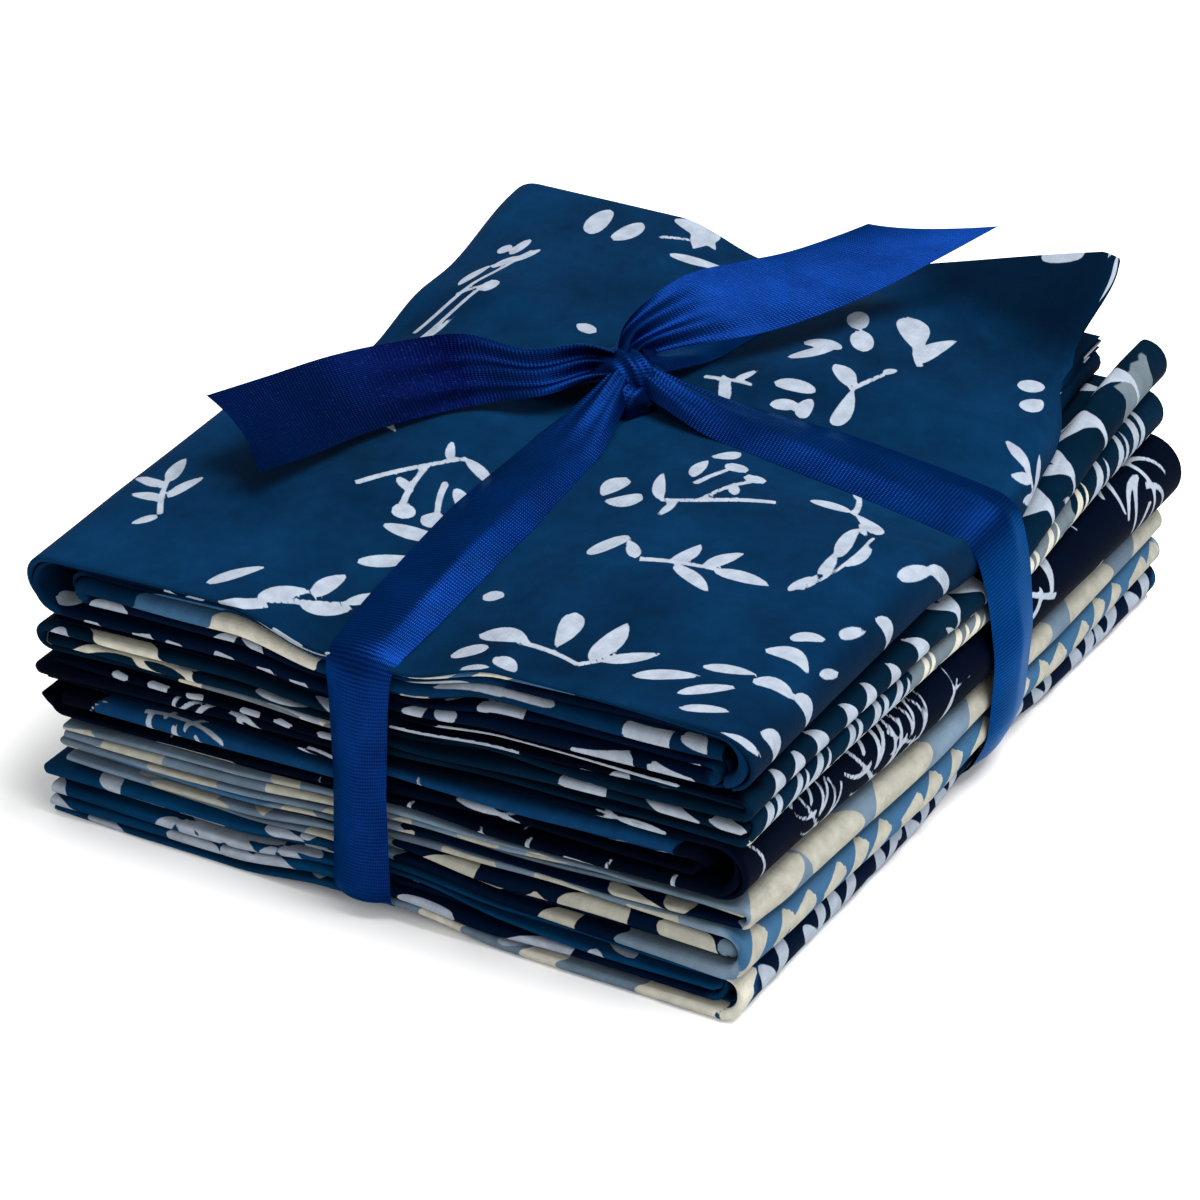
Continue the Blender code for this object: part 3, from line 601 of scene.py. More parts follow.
# Where motifs lie on the top of the bundle: place, direction in degrees, and scale.
Placing = namedtuple("Placing", "motif x y turn scale")
TOP_PRINT = [
    ("wand", -43.4, 31.8, 73, 1.06), ("two petals", -32.2, 58.8, 0, 1.2), ("heart", -16.5, 61.8, 0, 1),
    ("dot", -18.5, 26.2, 0, 1.35), ("oval", -12, 17, 20, 0.6), ("ovals", 16.5, 35.6, 0, 1),
    ("eight", 20.4, 44.2, 0, 1), ("vee", 33.4, 37.8, 0, 1), ("three ovals", 18.2, 21.6, 0, 1),
    ("wye", 26, 26.6, 0, 1), ("fork", 7.6, 21, 0, 1), ("beads", 52.2, 38.4, 0, 1),
    ("berries", -14.4, -27, 0, 1), ("leaf", -10.5, -36.6, 3, 0.98), ("leaf", -10.5, -43.2, 29, 0.88),
    ("leaf", -26.1, -57.7, 52, 0.8), ("edge sprig", -16.5, -57.5, 38, 1), ("oval", -4.5, -57, 92, 0.8),
    ("dot", 7.5, -45, 0, 1.35), ("vine", 23.6, -55, 0, 1), ("leaflets", 15.2, -60.5, 0, 1),
    ("leaf", 47.6, -50.6, 11, 0.7), ("leaf", 47.4, -56, 36, 0.76), ("leaf", 49.4, -60.4, 18, 0.66),
    ("leaf", 40.8, -55.4, 24, 0.85), ("moon", 52.6, -44.2, -10, 1.1), ("petal", 54, -51.2, 5, 0.5),
    ("petal", 52.8, -38.8, 30, 0.45), ("leaf", 55.9, -32.6, 75, 0.5), ("moon", 58.8, -58.6, 18, 0.9),
    ("moon", 58.4, -49.4, 14, 0.85), ("moon", 58.6, -26.2, 14, 0.85), ("leaf", 57.4, -41.4, 70, 0.42),
    ("leaf", 56, -63.6, 34, 0.55), ("sprig", 58.4, 23.4, 130, 0.66), ("short slice", 58, 8, 60, 1),
    ("short slice", 58.6, -9, 40, 1), ("leaf", 56, -14, 75, 0.7), ("spray", 46, -28, 84, 0.72),
    ("berries", 22, -8, 150, 0.95), ("pair", 8, -18, 20, 1), ("sprig", 31, -31, -20, 1),
    ("oval", 17, -30, 60, 1), ("wye", 41, -4, 50, 0.95), ("sprig", -48, -42, 84, 0.85),
    ("fork", -34, -12, 40, 1), ("dot", -47, -10, 0, 1.1), ("pair", -30, 4, 190, 0.9),
    ("sprig", -51, 2, 80, 0.7), ("oval", 46, 66.6, 0, 1.1),
]

# How bluntly the ends of a stroke close: 0.5 is round and 1 is pointed.
END_POWERS = {LEAF: (0.62, 0.86), OVAL: (0.46, 0.50), DROP: (0.95, 0.42)}
LINE_TAPER = 0.3
MOST_WIDENED = 1.15

# Distances are only told up to FAR, and strokes find their points by square bins.
FAR, BIN, COLUMN_KEYS = 3.0, 8.0, 4096

# How unevenly the motifs of a row lie: how much, and how quickly it changes along the row.
UNEVEN = {"pitch": (0.16, 2.3), "turn": (16.0, 1.7), "size": (0.14, 2.9)}

# How far a scattered motif lies off its place in the rows, in pitches, and how big it is.
SCATTER, SCATTER_SCALES = 0.24, (0.85, 1.15)

# The room round a row of motifs and round the top's own print, which the others keep off.
TRIM_ROOM = 6.0
TOP_ROOM = (-HALF_WIDTH - 3.0, -HALF_DEPTH - 3.0, HALF_WIDTH + 14.0, HALF_DEPTH + 3.0)

# Where the front folds lie on a print's page, and how few of its scattered motifs stay there.
FRONT_LINES = (-HALF_DEPTH - 2.0 * PLY_RUN, -HALF_DEPTH)
FRONT_SPARSE = 3


def strokes_of(placings):
    """The strokes of placed motifs, as rows of root, direction, length, width, bow and form."""
    rows = []
    for motif, x, y, turn, scale in placings:
        for stroke in (Stroke(*row) for row in MOTIFS[motif]):
            dx, dy = rotated(stroke.x * scale, stroke.y * scale, turn)
            wide = stroke.wide * min(scale, MOST_WIDENED)
            rows.append(Stroke(
                x + dx, y + dy, turn + stroke.turn, stroke.long * scale, wide,
                stroke.bow * scale, stroke.form))
    return rows


def half_width(form, share):
    """How wide a stroke is along its length, against its greatest half width."""
    share = limited(share)
    if form == LINE:
        return 1.0 - LINE_TAPER * share
    if form == BLOCK:
        return np.ones_like(share)
    root, tip = END_POWERS[form]
    widest = root / (root + tip)
    most = widest ** root * (1.0 - widest) ** tip
    return share ** root * (1.0 - share) ** tip / most


def bins(start, end, reach):
    """The first and last bin within reach of a line between two places."""
    return math.floor((min(start, end) - reach) / BIN), math.floor((max(start, end) + reach) / BIN)


def signed_distance(points, strokes):
    """How far each point of the flat cloth lies outside the nearest stroke."""
    field = np.full(len(points), FAR)
    cell = np.floor(points / BIN).astype(int)
    order = np.lexsort((cell[:, 1], cell[:, 0]))
    keys = cell[order, 0] * COLUMN_KEYS + cell[order, 1]
    for x, y, turn, long, wide, bow, form in strokes:
        dx, dy = math.cos(math.radians(turn)), math.sin(math.radians(turn))
        reach = wide / 2.0 + abs(bow) + FAR / 2.0
        left, right = bins(x, x + dx * long, reach)
        low, high = bins(y, y + dy * long, reach)
        columns = np.arange(left, right + 1) * COLUMN_KEYS
        firsts, lasts = np.searchsorted(keys, [columns + low, columns + high + 1])
        here = np.concatenate([order[first:last] for first, last in zip(firsts, lasts)])
        px, py = points[here, 0] - x, points[here, 1] - y
        along = (px * dx + py * dy) / long
        share = limited(along)
        across = np.abs(py * dx - px * dy - bow * 4.0 * share * (1.0 - share))
        beside = across - half_width(form, along) * wide / 2.0
        beyond = np.abs(along - share) * long
        distance = np.where(beyond > 0.0, np.hypot(np.maximum(beside, 0.0), beyond), beside)
        field[here] = np.minimum(field[here], distance)
    return field


def scattered(look, front_axis, low, high, keep_off):
    """Motifs laid out in rows with an uneven place, turn and size, as a block print is."""
    rng = np.random.default_rng(look.seed)
    pitch = look.pitch
    names = [kind for kind, weight in look.kinds for _ in range(weight)]
    columns, rows = (int((high[axis] - low[axis]) / pitch) + 1 for axis in (0, 1))
    placings = []
    for c in range(columns):
        for r in range(rows):
            x = low[0] + c * pitch + rng.uniform(-SCATTER, SCATTER) * pitch
            y = low[1] + r * pitch + 0.5 * pitch * (c % 2) + rng.uniform(-SCATTER, SCATTER) * pitch
            name = names[rng.integers(len(names))]
            turn, scale = rng.uniform(0.0, FULL_TURN), rng.uniform(*SCATTER_SCALES)
            if any(x0 <= x <= x1 and y0 <= y <= y1 for x0, y0, x1, y1 in keep_off):
                continue
            beside = min(abs((x, y)[front_axis] - line) for line in FRONT_LINES)
            if beside >= TRIM_ROOM or (c + r) % FRONT_SPARSE == 0:
                placings.append(Placing(name, x, y, turn, scale))
    return placings


# A piece of coloured ground along a front fold, counted from the top; on the top piece the
# shade ones are partly painted shade. Its ends slant, and it reaches this far over the fold,
# up and down: the whole way, or less.
WHOLE = 9
Patch = namedtuple("Patch", "layer fold start end slant above below", defaults=(0, WHOLE, WHOLE))

# A piece of coloured ground on a spine at the right: which of the piece's spines there,
# from this place to that towards the back, and from this share of its turn to that.
Block = namedtuple("Block", "layer spine front back low high")

# A row of one motif along a front fold or along a spine at the right. The pitch is in
# millimetres, and the rise is how far the row lies off the fold's or the spine's middle.
TRIM_COLUMNS = "line number start end motif pitch turn scale rise layer"
Trim = namedtuple("Trim", TRIM_COLUMNS, defaults=(0, "motif"))

# The worn and slanting edges of a patch and of a block: how high and how closely waved.
PATCH_SLANT, PATCH_FRAY = (0.7, 1.3), ((0.10, 2.9), (0.09, 7.3))
BLOCK_WAVES, BLOCK_DRIFT, BLOCK_FRAY = ((1.1, 0.9), (0.5, 2.3)), 0.3, (0.12, 1.9)

# A print: the colours of its layers, its scattered motifs with their weights, pitch and
# seed, and its patches, blocks and trims.
Look = namedtuple("Look", "ground shade second third motif kinds pitch seed patches blocks trims")
LAYER_NAMES = ("shade", "second", "third", "motif")
INDIGO = (0.0010, 0.0162, 0.0495)
MID_BLUE = (0.0012, 0.0280, 0.0780)
NAVY = (0.0004, 0.0040, 0.0160)
MIDNIGHT = (0.0003, 0.0014, 0.0060)
TEAL_NAVY = (0.0006, 0.0080, 0.0200)
STEEL = (0.036, 0.100, 0.190)
GREY_BLUE = (0.115, 0.165, 0.220)
GREY = (0.110, 0.142, 0.165)
CREAM = (0.500, 0.485, 0.410)
DULL_CREAM = (0.335, 0.330, 0.280)
LAVENDER = (0.300, 0.345, 0.412)
LOOKS = {
    "fat_quarter_1": Look(
        INDIGO, NAVY, STEEL, CREAM, LAVENDER,
        (("leaf", 3), ("oval", 2), ("vee", 1), ("pair", 1), ("sprig", 2)), 19, 11,
        # Partly painted shade: the shade patches along the top piece's front folds darken its front faces,
        # which lie in shade, as well as giving the navy ground of its print.
        [("shade", 0, -57, 57, 0, 0.2), ("shade", 1, -57, -2), ("shade", 2, -57, -42), ("shade", 2, 20, 57),
         ("second", 3, -47, -33, 0.8), ("third", 3, -33, -14, 0.8), ("second", 2, -44, -31, 0.8, 1),
         ("shade", 4, -57, -2), ("shade", 5, -57, 57), ("second", 0, 2, 26, 0, 0), ("second", 1, 2, 34),
         ("third", 0, 22, 31, 0, 0.4), ("third", 1, 6, 13), ("third", 1, 17, 23), ("third", 4, 2, 7),
         ("shade", 6, -57, 57), ("shade", 7, -57, 57)],
        [],
        [("fold", 0, -15, -6, "bar", 8, 0, 0.8, 0.8), ("fold", 1, -21, -20, "leaf", 9, -6, 0.8),
         ("fold", 4, -52, -50, "petal", 9, 10, 0.7), ("fold", 6, -50, -8, "dash", 7.6, 0, 1.15),
         ("fold", 3, -27, -20, "dash", 5.6, 20, 1.2, 0.6, "shade"), ("fold", 2, 6, 9, "petal", 9, 0, 1.1),
         ("fold", 3, 13, 27, "boat", 12, -8, 0.9), ("fold", 3, 44, 45, "slab", 12, 0, 0.7),
         ("fold", 5, 22, 24, "slab", 12, 0, 0.9, 0.3), ("fold", 6, 40, 52, "slab", 9.6, 0, 0.85)]),
    "fat_quarter_2": Look(
        TEAL_NAVY, MIDNIGHT, GREY, CREAM, LAVENDER,
        (("crescent", 3), ("petals", 2), ("petal", 1), ("oval", 2)), 15, 23,
        [("shade", 0, -57, 57), ("third", 2, -47, -36, -1.2), ("second", 5, -32, -7, 0.6),
         ("third", 5, -34, -30, 0.6), ("third", 5, -13, -9, 0.6), ("shade", 7, -57, 0), ("shade", 1, 2, 57),
         ("shade", 2, 2, 40), ("motif", 0, 8, 47, 0, 1.7, 0.98), ("motif", 2, 2, 23, 0, 1.2, 0.98)],
        [("third", 0, -66, 30, 0.2, 0.36), ("third", 0, 44, 66, 0.2, 0.34),
         ("second", 0, -20, 34, 0.36, 0.95), ("second", 1, 52, 62, 0.3, 0.9)],
        [("fold", 4, -42, -30, "hook", 8, 0, 1.2, 0, "third"), ("fold", 7, -46, -8, "dash", 7.4, 0, 1.15),
         ("fold", 4, 26, 44, "boat", 13, -4, 0.9), ("fold", 6, 16, 52, "petal", 9.5, 30, 0.9),
         ("fold", 5, 34, 56, "slab", 11, -20, 0.8),
         ("spine", 0, -61, -24, "crescents", 7.4, -20, 0.72, 0.16),
         ("spine", 0, -17, 36, "crescents", 8.4, -20, 0.7, 0.16, "third"),
         ("spine", 0, 42, 64, "crescents", 7.4, -20, 0.72, 0.16),
         ("spine", 1, -59, -16, "low moon", 6.6, 66, 1.25, -0.04),
         ("spine", 1, -8, 62, "stems", 10.4, 10, 0.9, 0.1)]),
    "fat_quarter_3": Look(
        MIDNIGHT, NAVY, (0.003, 0.032, 0.095), CREAM, LAVENDER,
        (("etching", 3), ("outline", 2)), 20, 37,
        [("second", 4, -50, 0), ("second", 5, -52, 0), ("second", 2, 2, 55), ("second", 3, 12, 56),
         ("third", 7, -40, -26)],
        [],
        [("fold", 5, -36, -12, "arc", 17, 60, 0.8), ("fold", 4, -48, -46, "arc", 20, 20, 0.6),
         ("fold", 3, 14, 54, "arc", 12, 10, 1.2), ("fold", 2, 10, 12, "tick", 9, 20, 1),
         ("fold", 6, 6, 52, "tick", 11, 0, 1), ("fold", 1, 20, 50, "tick", 12, 10, 1),
         ("spine", 0, -62, -58, "arc", 20, 80, 1.2), ("spine", 0, -46, -20, "etching", 13, 40, 0.8, 0.02),
         ("spine", 0, -9, -8, "outline", 20, 20, 0.8)]),
    "fat_quarter_4": Look(
        GREY_BLUE, STEEL, NAVY, DULL_CREAM, DULL_CREAM,
        (("big leaves", 3), ("big leaf", 3)), 16, 41,
        [("shade", 2, -44, 0), ("shade", 4, -50, -20), ("second", 5, -57, 0), ("second", 3, 2, 57),
         ("second", 5, 2, 57), ("second", 6, 2, 57), ("second", 7, 2, 40)],
        [("shade", 0, -66, 66, 0, 1)],
        [("fold", 0, -55, -52, "slab", 9, 0, 0.8), ("fold", 1, -46, -40, "slab", 9, 0, 1.2),
         ("fold", 3, -36, -28, "slab", 10, 0, 1.2), ("fold", 1, -18, -10, "slab", 8, 0, 0.8),
         ("fold", 1, 12, 54, "bar", 14, 0, 1.2), ("fold", 4, 16, 44, "slab", 14, 0, 0.9),
         ("fold", 5, 14, 56, "petal", 19, 0, 1.1), ("spine", 0, -62, 64, "bar", 7, 30, 1.1),
         ("spine", 1, -60, 64, "big leaf", 20, 0, 1.1)]),
    "fat_quarter_5": Look(
        MID_BLUE, NAVY, GREY_BLUE, CREAM, LAVENDER,
        (("petal", 3), ("petals", 3), ("oval", 1)), 15, 59,
        [("second", 7, 2, 57), ("third", 7, 8, 15), ("third", 7, 25, 31), ("third", 7, 44, 57),
         ("shade", 5, 2, 57), ("shade", 6, 2, 40), ("shade", 4, 2, 57)],
        [("shade", 0, -60, 66, 0, 1), ("third", 0, -68, -61, 0, 1)],
        [("fold", 1, -45, -30, "petal", 15, 10, 1.1, 0.6), ("fold", 4, -32, -14, "petals", 8, 20, 0.9),
         ("fold", 5, -30, -12, "petal", 7, -30, 0.9), ("fold", 5, 12, 30, "petal", 14, 0, 1.1),
         ("fold", 6, 34, 36, "petal", 14, 0, 1.2), ("spine", 0, -56, 64, "petals", 10.5, 30, 0.72)]),
}


def right_spines(stretches):
    """The turns and rolled ends that show at the right, in the strip's own order."""
    return [s for s in stretches if s.kind != "run" and s.side > 0 and s.nest == 0.0]


def to_page(piece, stretches, u, v):
    """The place on the print's own page, which reads along the part of the sheet that shows
    best: across the top run and back, or back along the outer right spine and up it."""
    y = u - LAST_PLY_START - HALF_DEPTH
    if piece is TOP:
        run = next(s for s in stretches if s.kind == "run")
        return np.stack([HALF_WIDTH - RUN_INSET - (v - run.start), y], axis=-1)
    turn = next(s for s in stretches if s.kind == "turn" and s.side > 0)
    return np.stack([y, v - turn.start], axis=-1)


def fold_place(stretches, fold, x):
    """The cloth coordinates of a place on a front fold, counted from the top."""
    level, half = divmod(PLIES * LAYERS // 2 - 1 - fold, 2)
    run = next(s for s in stretches if s.kind == "run" and s.level == level)
    pair = half if run.sign > 0 else 1 - half
    share = (x * run.side + HALF_WIDTH) / (2.0 * HALF_WIDTH)
    return (2 * pair + 1) * PLY_RUN, blend(run.start, run.end, share)


def line_place(stretches, trim, at):
    """The cloth coordinates of a place on the line that a row of motifs follows."""
    if trim.line == "fold":
        u, v = fold_place(stretches, trim.number, at)
        return u + trim.rise, v
    spine = right_spines(stretches)[trim.number]
    middle = (spine.start + spine.end) / 2.0
    return LAST_PLY_START + HALF_DEPTH + at, middle + trim.rise * (spine.end - spine.start)


def uneven(what, n, shift):
    most, rate = UNEVEN[what]
    return most * math.sin(n * rate + shift)


def trim_placings(piece, stretches, trim):
    """The motifs of one row, a little unevenly spaced and turned."""
    placings = []
    line_turn = 0.0 if (trim.line == "fold") == (piece is TOP) else QUARTER_TURN
    for n in range(int((trim.end - trim.start) / trim.pitch) + 1):
        at = trim.start + (n + uneven("pitch", n, trim.number)) * trim.pitch
        x, y = to_page(piece, stretches, *line_place(stretches, trim, at))
        turn = trim.turn + uneven("turn", n, trim.start) + line_turn
        scale = trim.scale * (1.0 + uneven("size", n, trim.end))
        placings.append(Placing(trim.motif, x, y, turn, scale))
    return placings


def trim_room(placings):
    """The part of the page round a row of motifs, which the scattered ones keep off."""
    xs, ys = [p.x for p in placings], [p.y for p in placings]
    return min(xs) - TRIM_ROOM, min(ys) - TRIM_ROOM, max(xs) + TRIM_ROOM, max(ys) + TRIM_ROOM


def outside(place, low, high):
    return np.abs(place - (low + high) / 2.0) - (high - low) / 2.0


def patch_distance(stretches, u, v, patch):
    """How far each point of the flat cloth lies outside a patch of ground along a fold."""
    line, start = fold_place(stretches, patch.fold, patch.start)
    end = fold_place(stretches, patch.fold, patch.end)[1]
    most, rate = PATCH_SLANT
    slant = patch.slant * (u - line) + most * np.sin((u - line) * rate + patch.fold)
    run = next(s for s in stretches if s.kind == "run" and s.start <= start <= s.end)
    upward = (u - line) * run.sign
    frayed = sum(most * np.sin(v * rate) for most, rate in PATCH_FRAY) if patch.below < 1.0 else 0.0
    beside = np.maximum(upward - patch.above, -upward - patch.below) + frayed
    return np.maximum(beside, outside(v + slant, min(start, end), max(start, end)))


def block_distance(stretches, u, v, block):
    """How far each point of the flat cloth lies outside a patch of ground on a spine."""
    spine = right_spines(stretches)[block.spine]
    long = spine.end - spine.start
    y = u - LAST_PLY_START - HALF_DEPTH
    (wide, slow), (narrow, quick) = BLOCK_WAVES
    wave = wide * np.sin(v * slow) + narrow * np.sin(v * quick + y * BLOCK_DRIFT)
    beside = outside((v - spine.start) / long, block.low, block.high)
    most, rate = BLOCK_FRAY
    return np.maximum(outside(y + wave, block.front, block.back), beside * long + most * np.sin(y * rate))


def print_cloth(obj, piece, stretches, u, v):
    """Stores how far each point lies outside each colour of the print."""
    look = LOOKS[piece.name]
    page = to_page(piece, stretches, u, v)
    trims = [Trim(*row) for row in look.trims]
    motifs = [(trim.layer, trim_placings(piece, stretches, trim)) for trim in trims]
    keep_off = [trim_room(placings) for _, placings in motifs]
    if piece is TOP:
        motifs.append(("motif", [Placing(*row) for row in TOP_PRINT]))
        keep_off.append(TOP_ROOM)
    front_axis = 1 if piece is TOP else 0
    motifs.append(("motif", scattered(look, front_axis, page.min(axis=0), page.max(axis=0), keep_off)))
    patches = [Patch(*row) for row in look.patches]
    blocks = [Block(*row) for row in look.blocks]
    for layer in LAYER_NAMES:
        found = [placing for name, placings in motifs if name == layer for placing in placings]
        fields = [signed_distance(page, strokes_of(found))]
        fields += [patch_distance(stretches, u, v, patch) for patch in patches if patch.layer == layer]
        fields += [block_distance(stretches, u, v, block) for block in blocks if block.layer == layer]
        add_values(obj, layer, np.minimum.reduce(fields))


def shown_finely(piece, stretches, ply, front, number, part):
    """Tells which blocks of the sheet are drawn finely: those on a fold or face that shows."""
    front_edge = 1.0 - FRONT_SHOWN / PLY_RUN - SLIGHT

    def fine(r0, r1, c0, c1):
        stretch = stretches[number[c0]]
        if min(front[r0], front[r1]) > front_edge:
            return True
        if min(ply[r0], ply[r1]) < PLIES - 1:
            return False
        if piece is TOP:
            return stretch.level == LAYERS - 1
        if piece is SECOND and stretch.kind == "run" and stretch.level == LAYERS - 1:
            return (part[c0] if stretch.side > 0 else 1.0 - part[c0]) > BESIDE_FLAP
        return stretch.kind != "run" and stretch.nest == 0.0

    return fine


# Painted shade on the ground of the top piece: how dark it grows on its raised corner and
# down its roll, where these lie in shade, and the rise and the X over which it does.
FLAP_SHADE, FLAP_SHADE_RISE = 0.8, (0.0, 3.0)
ROLL_SHADE, ROLL_SHADE_X = 0.5, (55.4, 57.4)


def painted_shade_of_top(points):
    raised = flap(points[:, 0], points[:, 1])
    rolled = smooth_step(points[:, 0], *ROLL_SHADE_X) * ROLL_SHADE * (raised == 0.0)
    return np.maximum(smooth_step(raised, *FLAP_SHADE_RISE) * FLAP_SHADE, rolled)


def build_piece(piece):
    stretches = strip_stretches(piece)
    ply, front, out, rows_coarse = ply_lines(piece)
    number, part, columns_coarse = strip_lines(piece, stretches)
    fine = shown_finely(piece, stretches, ply, front, number, part)
    row, column, faces = grid_mesh(rows_coarse, columns_coarse, fine)
    points = sheet_points(
        piece, stretches, number[column], part[column], ply[row], front[row], out[row])
    starts, ends = (np.array(places)[number] for places in zip(*[(s.start, s.end) for s in stretches]))
    v = (starts + part * (ends - starts))[column]
    u = np.linspace(0.0, SHEET_LONG, len(ply))[row]
    obj = make_object(piece.name, points, faces, u, v)
    print_cloth(obj, piece, stretches, u, v)
    # Painted shade on the top piece's raised corner and down its roll; none on the other pieces.
    add_values(obj, "painted_shade", painted_shade_of_top(points) if piece is TOP else np.zeros(len(points)))
    return obj


# ---------------------------------------------------------------- the materials

# How pale the inks and threads are under lights this strong.
INK = 0.84

# Noises over the cloth: scale, detail and roughness.
MOTTLE, FLECK = (38.0, 4.0, 0.62), (420.0, 3.0, 0.6)
FRAY, SLUB = (1100.0, 2.0, 0.5), (900.0, 2.0, 0.5)
SATIN_MOTTLE, SATIN_GLINT_NOISE = (120.0, 3.0, 0.5), (1500.0, 2.0, 0.5)
FLOOR_MOTTLE = (6.0, 2.0, 0.5)

# The values of a noise between which it is told as none and all.
STEEP, EVEN, GENTLE, GLINT_RANGE = (0.32, 0.68), (0.3, 0.7), (0.2, 0.8), (0.56, 0.70)

# The weaves' bands: direction, scale, distortion and detail. Their relief is in metres.
COTTON_BANDS = (("X", 400.0, 0.6, 1.0), ("Y", 400.0, 0.6, 1.0))
SATIN_BANDS = (("Y", 560.0, 1.5, 2.0), ("X", 900.0, 1.5, 2.0))
COTTON_RELIEF, SATIN_RELIEF, RELIEF_DEPTH = 0.18, 0.40, 0.0001

# How dark and bright the ground and the inks go, and how dark the ground goes under painted shade.
GROUND_TONES, INK_TONES, PAINTED_SHADE_TONE = (0.62, 1.45), (0.90, 1.06), 0.26

# How soft the edges of the shaded ground and of the inks are, and how far they fray.
SHADE_EDGE, INK_EDGE, FRAY_DEPTH = 0.8, 0.07, 0.16
SLUB_DEPTH, GRAIN = 0.8, 0.12

# The satin's colours: dark and light mixed by a mottle, a painted sheen on its threads, its
# near-black dull side, partly painted shade, and painted glints on its threads; and how much
# of the sheen and of the glints shows.
SATIN_LOW, SATIN_HIGH = (0.0008, 0.0064, 0.042), (0.0016, 0.0150, 0.092)
SATIN_PAINTED_SHEEN, SATIN_DULL_AND_SHADE = (0.004, 0.050, 0.280), (0.0005, 0.0014, 0.0160)
SATIN_PAINTED_GLINT = (0.020, 0.060, 0.300)
SATIN_SHINE, SATIN_FLASHES = 0.50, 0.10

COTTON_GLOSS = {"Roughness": 0.82, "Specular IOR Level": 0.02, "Specular Tint": (0.35, 0.65, 1.0, 1.0)}
SATIN_GLOSS = {
    "Metallic": 0.9, "Roughness": 0.36, "Specular IOR Level": 0.0,
    "Specular Tint": (0.45, 0.66, 1.0, 1.0)}
FLOOR_GLOSS = {"Roughness": 0.9}
FLOOR_COLOUR, FLOOR_DARKER = (0.95, 0.95, 0.95), 0.99
BLACK, WHITE = (0.0, 0.0, 0.0, 1.0), (1.0, 1.0, 1.0, 1.0)


class Nodes:
    """A few short calls that make and join the shader nodes of a material."""

    def __init__(self, name):
        self.material = bpy.data.materials.new(name)
        self.material.use_nodes = True
        self.tree = self.material.node_tree

    def make(self, kind, inputs=(), **settings):
        node = self.tree.nodes.new(kind)
        for key, value in settings.items():
            setattr(node, key, value)
        for key, value in dict(inputs).items():
            if isinstance(value, bpy.types.NodeSocket):
                self.tree.links.new(value, node.inputs[key])
            else:
                node.inputs[key].default_value = value
        return node

    def math(self, operation, *values):
        return self.make("ShaderNodeMath", enumerate(values), operation=operation).outputs[0]

    def mix(self, share, a, b, way="MIX"):
        inputs = {0: share, 6: a, 7: b}
        return self.make("ShaderNodeMix", inputs, data_type="RGBA", blend_type=way).outputs[2]

    def attribute(self, name):
        return self.make("ShaderNodeAttribute", attribute_name=name).outputs["Fac"]

    def noise(self, place, scale, detail, rough):
        inputs = {"Vector": place, "Scale": scale, "Detail": detail, "Roughness": rough}
        return self.make("ShaderNodeTexNoise", inputs).outputs["Fac"]

    def bands(self, place, direction, scale, distortion, detail):
        inputs = {"Vector": place, "Scale": scale, "Distortion": distortion, "Detail": detail}
        return self.make("ShaderNodeTexWave", inputs, bands_direction=direction).outputs["Fac"]

    def ramp(self, value, low, high):
        inputs = {"Value": value, "From Min": low, "From Max": high}
        return self.make("ShaderNodeMapRange", inputs).outputs[0]

    def finish(self, colour, gloss, height=None, strength=0.0):
        """Joins the colour and the relief to the shader, and sets the rest of its gloss."""
        shader = self.tree.nodes["Principled BSDF"]
        self.tree.links.new(colour, shader.inputs["Base Color"])
        for key, value in gloss.items():
            shader.inputs[key].default_value = value
        if height:
            relief = {"Height": height, "Strength": strength, "Distance": RELIEF_DEPTH}
            bump = self.make("ShaderNodeBump", relief)
            self.tree.links.new(bump.outputs[0], shader.inputs["Normal"])
        return self.material


def colour(rgb, bright=1.0):
    return tuple(min(c * bright * INK, 1.0) for c in rgb) + (1.0,)


def cotton(piece):
    look = LOOKS[piece.name]
    n = Nodes(piece.name + "_print")
    place = n.make("ShaderNodeUVMap", uv_map="cloth").outputs[0]
    fray = n.math("MULTIPLY", n.math("SUBTRACT", n.noise(place, *FRAY), 0.5), FRAY_DEPTH)
    fleck = n.noise(place, *FLECK)
    dark, bright = (colour(look.ground, tone) for tone in GROUND_TONES)
    paint = n.mix(n.ramp(n.noise(place, *MOTTLE), *STEEP), dark, bright)
    # Painted shade: the ground darkens on the top piece's raised corner and down its roll.
    paint = n.mix(n.attribute("painted_shade"), paint, colour(look.ground, PAINTED_SHADE_TONE))
    # The shade layer: the print's dark ground, which on the top piece's front folds is partly painted
    # shade.
    shade = n.ramp(n.math("ADD", n.attribute("shade"), fray), SHADE_EDGE, -SHADE_EDGE)
    paint = n.mix(shade, paint, colour(look.shade))
    for layer in ("second", "third", "motif"):
        inside = n.ramp(n.math("ADD", n.attribute(layer), fray), INK_EDGE, -INK_EDGE)
        dark, bright = (colour(getattr(look, layer), tone) for tone in INK_TONES)
        paint = n.mix(inside, paint, n.mix(n.ramp(fleck, *EVEN), dark, bright))
    paint = n.mix(GRAIN, paint, n.mix(n.ramp(fleck, *GENTLE), BLACK, WHITE), "OVERLAY")
    threads = n.math("MAXIMUM", *(n.bands(place, *bands) for bands in COTTON_BANDS))
    slub = n.math("MULTIPLY_ADD", n.noise(place, *SLUB), SLUB_DEPTH, 0.0)
    return n.finish(paint, COTTON_GLOSS, n.math("ADD", threads, slub), COTTON_RELIEF)


